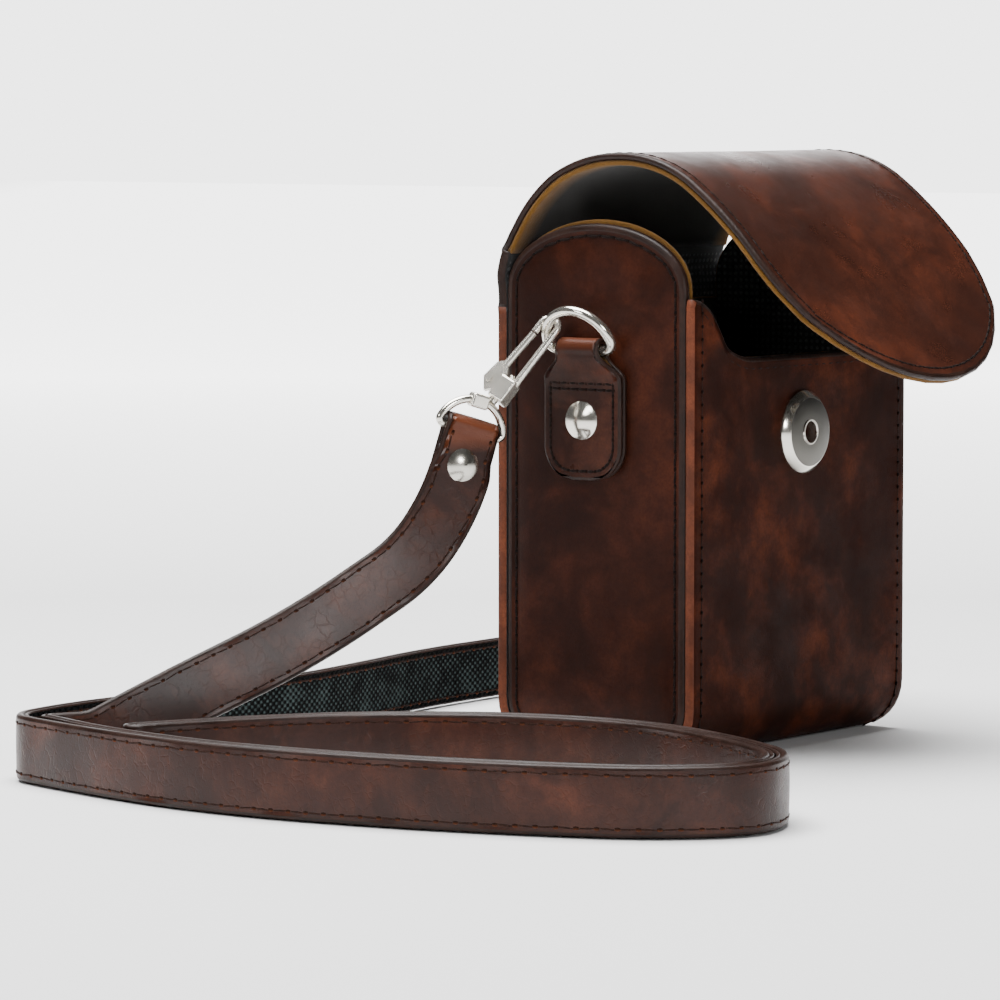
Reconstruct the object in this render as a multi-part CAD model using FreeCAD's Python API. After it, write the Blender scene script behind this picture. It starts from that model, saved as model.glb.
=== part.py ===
import FreeCAD, Part
import math
import os

V = FreeCAD.Vector

# Everything is in millimetres. The origin is the middle of the case's base, +Z is up, the front faces -Y.

# Case
CASE_W = 90.0            # across the front
CASE_D = 56.0            # front to back
FRONT_TOP = 107.0        # top of the ears left by the lens cut-out
FRONT_LOW = 93.0         # lowest line of the lens cut-out
BACK_TOP = 110.0         # where the back panel turns into the flap
ARCH_SPRING = 109.0      # where the rounded top of a side panel starts
ARCH_TOP = 124.0
CORNER_R = 12.0          # bend of the wrap under the case
LEATHER = 2.4            # wrap and side panel leather
LINING = 0.8             # glued lining
BOARD = 1.4              # loose stiffening board in the base
LINING_RIM = 0.9         # how far the side lining stands above its panel

# Magnetic snap
SNAP_Z = 74.5
SOCKET_R = 9.8
SOCKET_H = 2.3
SOCKET_HOLE_R = 2.85
STUD_GAP = 0.3
STUD_PLATE_H = 1.4
STUD_PLATE_R = 9.0
STUD_R = 2.2
STUD_TIP_R = 1.6
STUD_H = 1.7

# Flap
FLAP_LEATHER = 1.6
FLAP_SHEET = FLAP_LEATHER + LINING
FLAP_HINGE = V(0, 29.0, 110.0)
FLAP_BEND = V(0, -48.0, 114.0)      # outer face, where the straight tongue starts
FLAP_TIP = V(0, -69.0, 88.5)        # outer face at the tip
FLAP_TIP_R = 50.0                   # round end of the tongue, seen square on
CLOSED_TIP_Z = 58.0                 # height of the tip when the flap is snapped shut
SPLIT_Y = -9.0                      # where the crown ends and the tongue starts
SPLIT_GAP = 0.6

# Ring tabs and D-rings
TAB_Y = 1.5
TAB_W = 22.0
TAB_BOTTOM = 64.5
TAB_SHOULDER = 88.0
TAB_NECK_W = 12.0
TAB_CORNER_R = 8.0
TAB_T = 3.0
FOLD_R = 2.9
FOLD_Z = 94.7
RING_WIRE_R = 1.2
RING_R = 9.1
RING_H = 10.5
RING_CORNER_R = 2.6
RING_TILT = 28.0
RING_HOLD_ANGLE = 65.0   # where the hook holds the ring, measured from its top

# Strap and its ends
STRAP_W = 15.0
STRAP_LEATHER = 1.8
STRAP_LINING = 0.9
STRAP_T = STRAP_LEATHER + STRAP_LINING
STRAP_MID_Z = STRAP_W / 2 + 0.1
PLY_GAP = 0.4            # air between the two layers of the doubled loop
STRAP_FOLD_W = 13.4      # narrowed end that holds the ring
STRAP_TAIL = 17.0        # turned-back end under the rivet
STRAP_RING_WIRE_R = 0.95
STRAP_RING_R = 8.3
STRAP_RING_H = 7.4
STRAP_RING_CORNER_R = 1.2

# Trigger hook, along its own axis from the strap ring's bar (u) and across it (v)
BLOCK_START = 9.2
BLOCK_END = 15.2
BLOCK_LOW = -2.9
BLOCK_HIGH = 1.3
BLOCK_HALF_T = 2.1
ROD_R = 0.85
ARM_V = -2.2
NOSE_U = 30.5
NOSE_END_U = 27.8
GATE_TIP_U = 27.4
GATE_PIVOT_U = 13.2
GATE_PIVOT_V = -0.1
PIN_R = 0.55

os.makedirs("parts", exist_ok=True)
nodes = {}


def add(name, shape):
    nodes[name] = shape


def box(x0, x1, y0, y1, z0, z1):
    return Part.makeBox(x1 - x0, y1 - y0, z1 - z0, V(x0, y0, z0))


def line(a, b):
    return Part.LineSegment(a, b).toShape()


def arc(a, b, c):
    return Part.Arc(a, b, c).toShape()


def prism(edges, direction):
    return Part.Face(Part.Wire(edges)).extrude(direction)


def polygon(points, direction):
    return Part.Face(Part.makePolygon(points + [points[0]])).extrude(direction)


def cylinder(start, direction, radius, length):
    return Part.makeCylinder(radius, length, start, direction)


def unit(vector):
    return vector * (1.0 / vector.Length)


def mirrored(shape):
    return shape.mirror(V(0, 0, 0), V(1, 0, 0))


def add_pair(name, left_shape):
    """A piece on the left side of the case, and its mirror image on the right."""
    add(name + "_left", left_shape)
    add(name + "_right", mirrored(left_shape))


# ---------------------------------------------------------------- outlines

def offset_polyline(points, distance):
    """The corners moved to the left of the walking direction (right if negative)."""
    moved = []
    for i, point in enumerate(points):
        before = unit(point - points[i - 1]) if i > 0 else None
        after = unit(points[i + 1] - point) if i + 1 < len(points) else None
        before = before or after
        after = after or before
        left_a = V(-before.y, before.x, 0)
        left_b = V(-after.y, after.x, 0)
        moved.append(point + (left_a + left_b) * (distance / (1 + left_a.dot(left_b))))
    return moved


def largest_radii(points, share=0.45):
    """The largest fillet at each corner that leaves its neighbours the same room."""
    radii = [0.0]
    for a, b, c in zip(points, points[1:], points[2:]):
        turn = (b - a).getAngle(c - b)
        run = min((b - a).Length, (c - b).Length)
        radii.append(share * run / math.tan(turn / 2) if turn > 1e-6 else 0.0)
    return radii + [0.0]


def rounded_side(points, radii, offset):
    """Edges of a rounded polyline, moved to its left by offset."""
    edges = []
    start = None
    for i, point in enumerate(points):
        if i == 0 or i == len(points) - 1:
            run = unit(points[1] - points[0]) if i == 0 else unit(point - points[i - 1])
            here = point + V(-run.y, run.x, 0) * offset
            if start is not None:
                edges.append(line(start, here))
            start = here
            continue
        before = unit(point - points[i - 1])
        after = unit(points[i + 1] - point)
        turn = before.getAngle(after)
        side = 1.0 if before.x * after.y - before.y * after.x > 0 else -1.0
        reach = radii[i] * math.tan(turn / 2)
        left_a = V(-before.y, before.x, 0)
        left_b = V(-after.y, after.x, 0)
        first = point - before * reach + left_a * offset
        last = point + after * reach + left_b * offset
        centre = point - before * reach + left_a * (side * radii[i])
        middle = centre - unit(left_a + left_b) * (side * (radii[i] - side * offset))
        if (first - start).Length > 1e-4:
            edges.append(line(start, first))
        edges.append(arc(first, middle, last))
        start = last
    return edges


def ribbon(points, radii, low, high, thickness_vector):
    """A band between two offsets of a rounded polyline in the XY plane, extruded."""
    one = rounded_side(points, radii, low)
    two = rounded_side(points, radii, high)
    ends = [
        line(one[0].firstVertex().Point, two[0].firstVertex().Point),
        line(one[-1].lastVertex().Point, two[-1].lastVertex().Point),
    ]
    wire = Part.Wire(Part.__sortEdges__(one + two + ends))
    return Part.Face(wire).extrude(thickness_vector)


def d_path(radius, height, corner):
    """Closed D in the XY plane: straight bar on the X axis, round top at y = height."""
    centre = height - radius
    reach = math.sqrt((radius - corner) ** 2 - (corner - centre) ** 2)
    lean = math.atan2(corner - centre, reach)
    touch = V(radius * math.cos(lean), centre + radius * math.sin(lean), 0)
    half = (lean - math.pi / 2) / 2
    knee = V(reach + corner * math.cos(half), corner + corner * math.sin(half), 0)
    flip = lambda p: V(-p.x, p.y, 0)
    bar = V(reach, 0, 0)
    return Part.Wire([
        line(flip(bar), bar),
        arc(bar, knee, touch),
        arc(touch, V(0, height, 0), flip(touch)),
        arc(flip(touch), flip(knee), flip(bar)),
    ])


def bent_wire(path, start, direction, radius):
    """A round wire along a path of lines and tangent arcs."""
    profile = Part.Wire([Part.makeCircle(radius, start, direction)])
    return path.makePipeShell([profile], True, True)


def place(shape, origin, x_axis, y_axis):
    """Moves a shape from its own XY plane to a place given by two axes at right angles."""
    z_axis = x_axis.cross(y_axis)
    matrix = FreeCAD.Matrix(
        x_axis.x, y_axis.x, z_axis.x, origin.x,
        x_axis.y, y_axis.y, z_axis.y, origin.y,
        x_axis.z, y_axis.z, z_axis.z, origin.z,
        0, 0, 0, 1,
    )
    moved = shape.copy()
    moved.Placement = FreeCAD.Placement(matrix).multiply(moved.Placement)
    return moved


# ---------------------------------------------------------------- case

def u_profile(depth, low, front_top, back_top, radius, x0, x1):
    """A solid tray section: front, base and back with round lower bends, cut level on top."""
    y = depth / 2
    k = radius * (1 - math.sqrt(0.5))
    return prism([
        line(V(x0, -y, front_top), V(x0, -y, low + radius)),
        arc(V(x0, -y, low + radius), V(x0, -y + k, low + k), V(x0, -y + radius, low)),
        line(V(x0, -y + radius, low), V(x0, y - radius, low)),
        arc(V(x0, y - radius, low), V(x0, y - k, low + k), V(x0, y, low + radius)),
        line(V(x0, y, low + radius), V(x0, y, back_top)),
        line(V(x0, y, back_top), V(x0, -y, front_top)),
    ], V(x1 - x0, 0, 0))


def lens_cutout(y0, y1):
    """The dip in the front panel that leaves room for a lens barrel."""
    ear = V(-43.5, y0, FRONT_TOP)
    turn = V(-34.0, y0, 100.5)
    low = V(-22.5, y0, FRONT_LOW)
    rise = V(0, 0, 5)
    flip = lambda p: V(-p.x, p.y, p.z)
    edges = [
        line(ear + rise, ear),
        arc(ear, V(-38.3, y0, 105.0), turn),
        arc(turn, V(-30.6, y0, 95.9), low),
        line(low, flip(low)),
        arc(flip(low), V(30.6, y0, 95.9), flip(turn)),
        arc(flip(turn), V(38.3, y0, 105.0), flip(ear)),
        line(flip(ear), flip(ear + rise)),
        line(flip(ear + rise), ear + rise),
    ]
    return prism(edges, V(0, y1 - y0, 0))


def side_outline(x0, thickness, rim):
    """A side panel: fits between the front and the back, with an arched top."""
    y = CASE_D / 2 - LEATHER - 0.05
    r = CORNER_R - LEATHER
    low = LEATHER
    k = r * (1 - math.sqrt(0.5))
    top = ARCH_TOP + rim
    rise = top - ARCH_SPRING
    knee = V(x0, -y * math.cos(0.7), ARCH_SPRING + rise * math.sin(0.7))
    knee_b = V(x0, y * math.cos(0.7), ARCH_SPRING + rise * math.sin(0.7))
    near = V(x0, -y * math.cos(0.3), ARCH_SPRING + rise * math.sin(0.3))
    near_b = V(x0, y * math.cos(0.3), ARCH_SPRING + rise * math.sin(0.3))
    return prism([
        line(V(x0, -y, ARCH_SPRING), V(x0, -y, low + r)),
        arc(V(x0, -y, low + r), V(x0, -y + k, low + k), V(x0, -y + r, low)),
        line(V(x0, -y + r, low), V(x0, y - r, low)),
        arc(V(x0, y - r, low), V(x0, y - k, low + k), V(x0, y, low + r)),
        line(V(x0, y, low + r), V(x0, y, ARCH_SPRING)),
        arc(V(x0, y, ARCH_SPRING), near_b, knee_b),
        arc(knee_b, V(x0, 0, top), knee),
        arc(knee, near, V(x0, -y, ARCH_SPRING)),
    ], V(thickness, 0, 0))


def make_case():
    half = CASE_W / 2
    y_front = -CASE_D / 2
    tall = max(FRONT_TOP, BACK_TOP) + 10

    def wrap_layer(skin, thickness, x_half):
        """One layer of the strip that makes the front, base and back."""
        outer = u_profile(CASE_D - 2 * skin, skin, FRONT_TOP, BACK_TOP, CORNER_R - skin, -x_half, x_half)
        deep = skin + thickness
        inner = u_profile(CASE_D - 2 * deep, deep, tall, tall, CORNER_R - deep, -x_half - 1, x_half + 1)
        shell = outer.cut(inner)
        level = box(-half, half, y_front - 1, 0, FRONT_TOP, tall)
        return shell.cut(level).cut(lens_cutout(y_front - 1, y_front + 6))

    stem_hole = cylinder(V(0, y_front - 1, SNAP_Z), V(0, 1, 0), 2.05, 8)
    lining_half = half - LEATHER - LINING - 0.05
    add("body_wrap", wrap_layer(0, LEATHER, half).cut(stem_hole))
    add("wrap_lining", wrap_layer(LEATHER, LINING, lining_half).cut(stem_hole))
    floor = LEATHER + LINING
    board_d = CASE_D / 2 - CORNER_R - 0.5
    add("base_board", box(-lining_half + 1, lining_half - 1, -board_d, board_d, floor, floor + BOARD))

    panel = side_outline(-half, LEATHER, 0)
    add_pair("side_panel", panel)
    add_pair("side_lining", side_outline(-half + LEATHER, LINING, LINING_RIM))


def make_snap_socket():
    """Pressed cap over a ring magnet, held by a tubular rivet on a washer inside the case."""
    face = -CASE_D / 2
    out = V(0, -1, 0)
    centre = V(0, face, SNAP_Z)
    rim_h = 0.8
    flange = cylinder(centre, out, SOCKET_R, rim_h)
    bevel = Part.makeCone(SOCKET_R, SOCKET_R - 1.6, SOCKET_H - rim_h, centre + out * rim_h, out)
    body = flange.fuse(bevel)
    pocket = cylinder(centre - out * 1, out, SOCKET_R - 2.1, 1 + SOCKET_H - 0.5)
    hole = cylinder(centre - out * 1, out, SOCKET_HOLE_R, SOCKET_H + 2)
    add("snap_socket_cap", body.cut(pocket).cut(hole))
    magnet = cylinder(centre + out * 0.1, out, SOCKET_R - 2.3, SOCKET_H - 0.7)
    add("snap_magnet", magnet.cut(cylinder(centre, out, SOCKET_HOLE_R + 0.35, SOCKET_H)))
    back = centre - out * (LEATHER + LINING)
    washer = cylinder(back - out * 0.6, out, 8.5, 0.6)
    stem = cylinder(back, out, 2.0, LEATHER + LINING + 0.1)
    add("snap_socket_washer", washer.fuse(stem))


# ---------------------------------------------------------------- flap

def flap_pole():
    """Axis about which the tongue turns so that it hangs straight down in front of the snap."""
    along = unit(FLAP_TIP - FLAP_BEND)
    outward = V(0, along.z, -along.y)
    closed_y = -CASE_D / 2 - SOCKET_H - STUD_GAP - STUD_PLATE_H - FLAP_SHEET
    # Distance from the pole to the tongue's outer face stays the same, and the tip lands at its height.
    a1, b1 = 1 + outward.y, outward.z
    c1 = closed_y + FLAP_BEND.dot(outward)
    length = (FLAP_TIP - FLAP_BEND).Length
    a2, b2 = along.y, 1 + along.z
    c2 = CLOSED_TIP_Z + length + FLAP_BEND.dot(along)
    det = a1 * b2 - a2 * b1
    pole = V(0, (c1 * b2 - c2 * b1) / det, (a1 * c2 - a2 * c1) / det)
    angle = math.degrees(math.atan2(-along.y, -along.z))
    return pole, angle, along, outward


def flap_section(depth_a, depth_b):
    """Edges of the flap's side view between two depths below its outer face."""
    outer = [
        V(0, 28.6, 110.9), V(0, 27.4, 116.2), V(0, 23.9, 123.1), V(0, 19.4, 129.4), V(0, 12.7, 135.3),
        V(0, 3.6, 139.1), V(0, -6.0, 140.3), V(0, -16.0, 139.2), V(0, -26.0, 134.8),
        V(0, -37.0, 125.9), FLAP_BEND, FLAP_TIP,
    ]

    def level(depth):
        flat = [V(p.y, p.z, 0) for p in outer]
        moved = [V(0, p.x, p.y) for p in offset_polyline(flat, depth)]
        edges = []
        for i in range(0, 10, 2):
            edges.append(arc(moved[i], moved[i + 1], moved[i + 2]))
        edges.append(line(moved[10], moved[11]))
        return edges, moved

    top, top_points = level(depth_a)
    low, low_points = level(depth_b)
    ends = [line(top_points[0], low_points[0]), line(top_points[-1], low_points[-1])]
    return top + low + ends


def make_flap():
    half = CASE_W / 2
    pole, angle, along, outward = flap_pole()
    length = (FLAP_TIP - FLAP_BEND).Length

    # The tongue's outline, seen square to its straight part: x across, s along it from the bend.
    side_s = length - (FLAP_TIP_R - math.sqrt(FLAP_TIP_R ** 2 - 40.5 ** 2))
    far = length + 8

    def at(x, s):
        return FLAP_BEND + along * s + V(x, 0, 0) + outward * 2

    corner = prism([
        line(at(-half - 1, -3), at(-half, -3)),
        arc(at(-half, -3), at(-43.6, 0.45 * side_s - 1.2), at(-40.5, side_s)),
        arc(at(-40.5, side_s), at(0, length), at(40.5, side_s)),
        arc(at(40.5, side_s), at(43.6, 0.45 * side_s - 1.2), at(half, -3)),
        line(at(half, -3), at(half + 1, -3)),
        line(at(half + 1, -3), at(half + 1, far)),
        line(at(half + 1, far), at(-half - 1, far)),
        line(at(-half - 1, far), at(-half - 1, -3)),
    ], outward * -8)

    def layer(depth_a, depth_b, x_half):
        """One layer of the whole flap, with its round tongue."""
        sheet = Part.Face(Part.Wire(Part.__sortEdges__(flap_section(depth_a, depth_b))))
        sheet.translate(V(-x_half, 0, 0))
        return sheet.extrude(V(2 * x_half, 0, 0)).cut(corner)

    for suffix, depth_a, depth_b, x_half in (
        ("", 0, FLAP_LEATHER, half),
        ("_lining", FLAP_LEATHER, FLAP_SHEET, half - 0.4),
    ):
        whole = layer(depth_a, depth_b, x_half)
        behind = box(-half - 1, half + 1, SPLIT_Y + SPLIT_GAP / 2, 60, 90, 160)
        ahead = box(-half - 1, half + 1, -90, SPLIT_Y - SPLIT_GAP / 2, 60, 160)
        add("flap_crown" + suffix, whole.common(behind))
        add("flap_tongue" + suffix, whole.common(ahead))

    # Snap stud: lands on the socket's axis when the tongue is down.
    snap_s = (pole - FLAP_BEND).dot(along) + (pole.z - SNAP_Z)
    inner_face = FLAP_BEND + along * snap_s - outward * FLAP_SHEET
    inward = outward * -1
    plate = cylinder(inner_face, inward, STUD_PLATE_R, STUD_PLATE_H)
    plate = plate.makeChamfer(0.4, [e for e in plate.Edges if (e.CenterOfMass - inner_face).Length > 1])
    stud = Part.makeCone(STUD_R, STUD_TIP_R, STUD_H, inner_face + inward * STUD_PLATE_H, inward)
    leg = cylinder(inner_face + outward * (LINING + 0.5), inward, 1.6, LINING + 0.6)
    washer = cylinder(inner_face + outward * LINING, outward, 7.0, 0.5)
    add("snap_stud", plate.fuse(stud).fuse(leg))
    add("snap_stud_washer", washer.cut(leg))
    for name in ("flap_tongue", "flap_tongue_lining"):
        nodes[name] = nodes[name].cut(washer).cut(leg)
    return pole, angle


# ---------------------------------------------------------------- ring tabs and D-rings

FOLD_X = -(CASE_W / 2 + FOLD_R + 0.05)
RING_AXIS = V(FOLD_X, TAB_Y, FOLD_Z)


def make_tab():
    """Leather tab on the side panel, turned over the D-ring's bar and riveted."""
    x0 = -CASE_W / 2
    y0, y1 = TAB_Y - TAB_W / 2, TAB_Y + TAB_W / 2
    n0, n1 = TAB_Y - TAB_NECK_W / 2, TAB_Y + TAB_NECK_W / 2
    r = TAB_CORNER_R
    k = r * (1 - math.sqrt(0.5))
    low = TAB_BOTTOM
    plate = prism([
        line(V(x0, y0, TAB_SHOULDER), V(x0, y0, low + r)),
        arc(V(x0, y0, low + r), V(x0, y0 + k, low + k), V(x0, y0 + r, low)),
        line(V(x0, y0 + r, low), V(x0, y1 - r, low)),
        arc(V(x0, y1 - r, low), V(x0, y1 - k, low + k), V(x0, y1, low + r)),
        line(V(x0, y1, low + r), V(x0, y1, TAB_SHOULDER)),
        line(V(x0, y1, TAB_SHOULDER), V(x0, n1, FOLD_Z)),
        line(V(x0, n1, FOLD_Z), V(x0, n0, FOLD_Z)),
        line(V(x0, n0, FOLD_Z), V(x0, y0, TAB_SHOULDER)),
    ], V(-TAB_T, 0, 0))
    start = V(FOLD_X, n0, FOLD_Z)
    fold = cylinder(start, V(0, 1, 0), FOLD_R, TAB_NECK_W)
    bore = cylinder(start - V(0, 20, 0), V(0, 1, 0), RING_WIRE_R + 0.08, 60)
    rivet = V(x0, TAB_Y, 78.4)
    hole = cylinder(rivet + V(1, 0, 0), V(-1, 0, 0), 1.5, TAB_T + 2)
    add_pair("tab", plate.fuse(fold).cut(bore).cut(hole))
    dome = Part.makeSphere(8.5, V(x0 - TAB_T + 7.25, TAB_Y, 78.4))
    dome = dome.common(cylinder(rivet + V(-TAB_T, 0, 0), V(-1, 0, 0), 4.5, 3))
    shank = cylinder(rivet, V(-1, 0, 0), 1.45, TAB_T + 0.4)
    add_pair("tab_rivet", dome.fuse(shank))


def ring_axes():
    tilt = math.radians(RING_TILT)
    return V(0, 1, 0), V(-math.sin(tilt), 0, math.cos(tilt))


def make_d_ring():
    across, up = ring_axes()
    path = d_path(RING_R, RING_H, RING_CORNER_R)
    ring = bent_wire(path, V(0, 0, 0), V(1, 0, 0), RING_WIRE_R)
    add_pair("d_ring", place(ring, RING_AXIS, across, up))


def hold_point():
    """Centre of the D-ring's wire where the hook holds it, and the wire's direction there."""
    across, up = ring_axes()
    angle = math.radians(RING_HOLD_ANGLE)
    centre = RING_AXIS + up * (RING_H - RING_R)
    point = centre + across * (RING_R * math.sin(angle)) + up * (RING_R * math.cos(angle))
    along = across * math.cos(angle) - up * math.sin(angle)
    return point, along


# ---------------------------------------------------------------- strap

# Where the left end of the strap comes down: t along the ground from the hook's hold, and height.
END_ROUTE = [
    V(18.7, 76.2, 0), V(23.5, 60.5, 0), V(33.0, 46.5, 0), V(60.0, 29.8, 0),
    V(90.0, 16.8, 0), V(110.0, STRAP_MID_Z, 0), V(117.5, STRAP_MID_Z, 0),
]
LEFT_FLOOR = V(-151.5, 72.9, 0)

# Middle line of the doubled loop on the ground, from the left bend to its tip.
LOOP = [
    V(-164.5, 50, 0), V(-170, 22, 0), V(-170, -6, 0), V(-165, -36, 0), V(-157, -64, 0),
    V(-147, -88, 0), V(-130, -103, 0), V(-110, -96, 0), V(-93, -68, 0), V(-84, -38, 0),
    V(-90, -8, 0), V(-109, 19, 0), V(-134, 36, 0), V(-157, 46, 0),
]
# The single run behind the case, from the left bend to the right end.
FAR_RUN = [
    V(-157.5, 80.5, 0), V(-134, 84, 0), V(-97, 80, 0), V(-60, 78.4, 0), V(-30, 82.5, 0),
    V(5, 89, 0), V(50, 90, 0), V(95, 94.5, 0), V(132, 94.5, 0), V(158, 92, 0),
]


def end_frame():
    """Place of the upright plane in which the left end of the strap comes down."""
    point, _ = hold_point()
    ground = V(point.x, point.y, 0)
    heading = unit(LEFT_FLOOR - ground)
    return ground, heading


def strap_route():
    """Corners and fillet radii of the strap's middle line on the ground, left end to right end."""
    ground, heading = end_frame()
    half_gap = (STRAP_T + PLY_GAP) / 2
    start = ground + heading * END_ROUTE[-1].x
    inner = offset_polyline(LOOP, half_gap)
    outer = offset_polyline(LOOP, -half_gap)
    loop_radii = largest_radii(LOOP)
    right_start = V(-start.x, start.y, 0)
    right_heading = V(-heading.x, heading.y, 0)
    turn = right_start + right_heading * 15.5
    points = [start, LEFT_FLOOR + heading * 2.6] + inner + outer[::-1] + FAR_RUN + [turn, right_start]
    far_radii = largest_radii([outer[0]] + FAR_RUN + [turn])[1:-1]
    far_radii[0] = 5.5
    far_radii[-1] = 7.0
    radii = [0, 2.6]
    radii += [r - half_gap for r in loop_radii[:-1]] + [half_gap]
    radii += [half_gap] + [r + half_gap for r in loop_radii[-2::-1]]
    radii += far_radii + [6.0, 0]
    # The loop's first corner turns with its neighbours, and its tip is a tight fold.
    count = len(inner)
    whole = largest_radii(points)
    radii[2] = min(whole[2], 40.0)
    radii[1 + 2 * count] = radii[2] + 2 * half_gap
    return points, radii


def strap_length(points, radii):
    total = sum((b - a).Length for a, b in zip(points, points[1:]))
    for i in range(1, len(points) - 1):
        turn = (points[i] - points[i - 1]).getAngle(points[i + 1] - points[i])
        total += radii[i] * (turn - 2 * math.tan(turn / 2))
    return total


def make_strap():
    ground, heading = end_frame()
    up = V(0, 0, 1)
    points, radii = strap_route()
    rise = V(0, 0, STRAP_W)
    base = STRAP_MID_Z - STRAP_W / 2
    end_radii = largest_radii(END_ROUTE)
    face = STRAP_T / 2
    seam = face - STRAP_LEATHER

    def end_band(near, far):
        """The left end as it comes down from the hook, between two depths from the leather side."""
        band = ribbon(END_ROUTE, end_radii, -STRAP_W / 2, STRAP_W / 2, V(0, 0, far - near))
        band.translate(V(0, 0, near))
        return place(band, ground, heading, up)

    def ground_band(low, high):
        band = ribbon(points, radii, low, high, rise)
        band.translate(V(0, 0, base))
        return band

    # The end is turned back over the strap ring's bar. Depth grows away from the leather side.
    bar = END_ROUTE[0]
    down = unit(END_ROUTE[1] - bar)
    side = V(-down.y, down.x, 0)
    bar_depth = 1.2
    loop_r = 2.6
    loop = cylinder(bar + V(0, 0, bar_depth) - side * (STRAP_FOLD_W / 2), side, loop_r, STRAP_FOLD_W)
    tail = polygon([
        bar + side * (STRAP_FOLD_W / 2), bar - side * (STRAP_FOLD_W / 2),
        bar - side * (STRAP_FOLD_W / 2) + down * STRAP_TAIL,
        bar + side * (STRAP_FOLD_W / 2) + down * STRAP_TAIL,
    ], V(0, 0, STRAP_LEATHER))
    tail.translate(V(0, 0, face + 0.05))
    bore = cylinder(bar + V(0, 0, bar_depth) - side * 30, side, STRAP_RING_WIRE_R + 0.12, 60)
    ear = ribbon(END_ROUTE[:2], [0, 0], STRAP_FOLD_W / 2, STRAP_W, V(0, 0, 20))
    ear.translate(V(0, 0, -10))
    ear_b = ribbon(END_ROUTE[:2], [0, 0], -STRAP_W, -STRAP_FOLD_W / 2, V(0, 0, 20))
    ear_b.translate(V(0, 0, -10))
    near_ring = Part.makeBox(60, 14, 40, V(bar.x - 30, bar.y - 6.5, -20))
    trims = [place(s.common(near_ring), ground, heading, up) for s in (ear, ear_b)]
    rivet = bar + down * 8.2
    shank_hole = cylinder(rivet + V(0, 0, -10), V(0, 0, 1), 1.25, 20)
    cuts = [place(s, ground, heading, up) for s in (bore, shank_hole)]

    leather_end = end_band(-face, -seam)
    leather_end = leather_end.fuse(place(loop.fuse(tail), ground, heading, up))
    lining_end = end_band(-seam, face).cut(place(loop, ground, heading, up))
    for cut in trims + cuts:
        leather_end = leather_end.cut(cut)
        lining_end = lining_end.cut(cut)
    leather = ground_band(seam, face).fuse(leather_end).fuse(mirrored(leather_end))
    lining = ground_band(-face, seam).fuse(lining_end).fuse(mirrored(lining_end))
    add("strap_leather", leather.removeSplitter())
    add("strap_lining", lining.removeSplitter())

    head = Part.makeSphere(8.0, rivet + V(0, 0, -face - 1.1 + 8.0))
    head = head.common(cylinder(rivet + V(0, 0, -face), V(0, 0, -1), 4.25, 3))
    shank = cylinder(rivet + V(0, 0, -face - 0.2), V(0, 0, 1), 1.2, STRAP_T + STRAP_LEATHER + 0.6)
    foot = cylinder(rivet + V(0, 0, face + STRAP_LEATHER + 0.1), V(0, 0, 1), 3.6, 0.6)
    add_pair("strap_rivet", place(head.fuse(shank).fuse(foot), ground, heading, up))
    bar_world = ground + heading * bar.x + up * bar.y + heading.cross(up) * bar_depth
    bar_along = heading * side.x + up * side.y
    return bar_world, bar_along, strap_length(points, radii)


# ---------------------------------------------------------------- clasp

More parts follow.
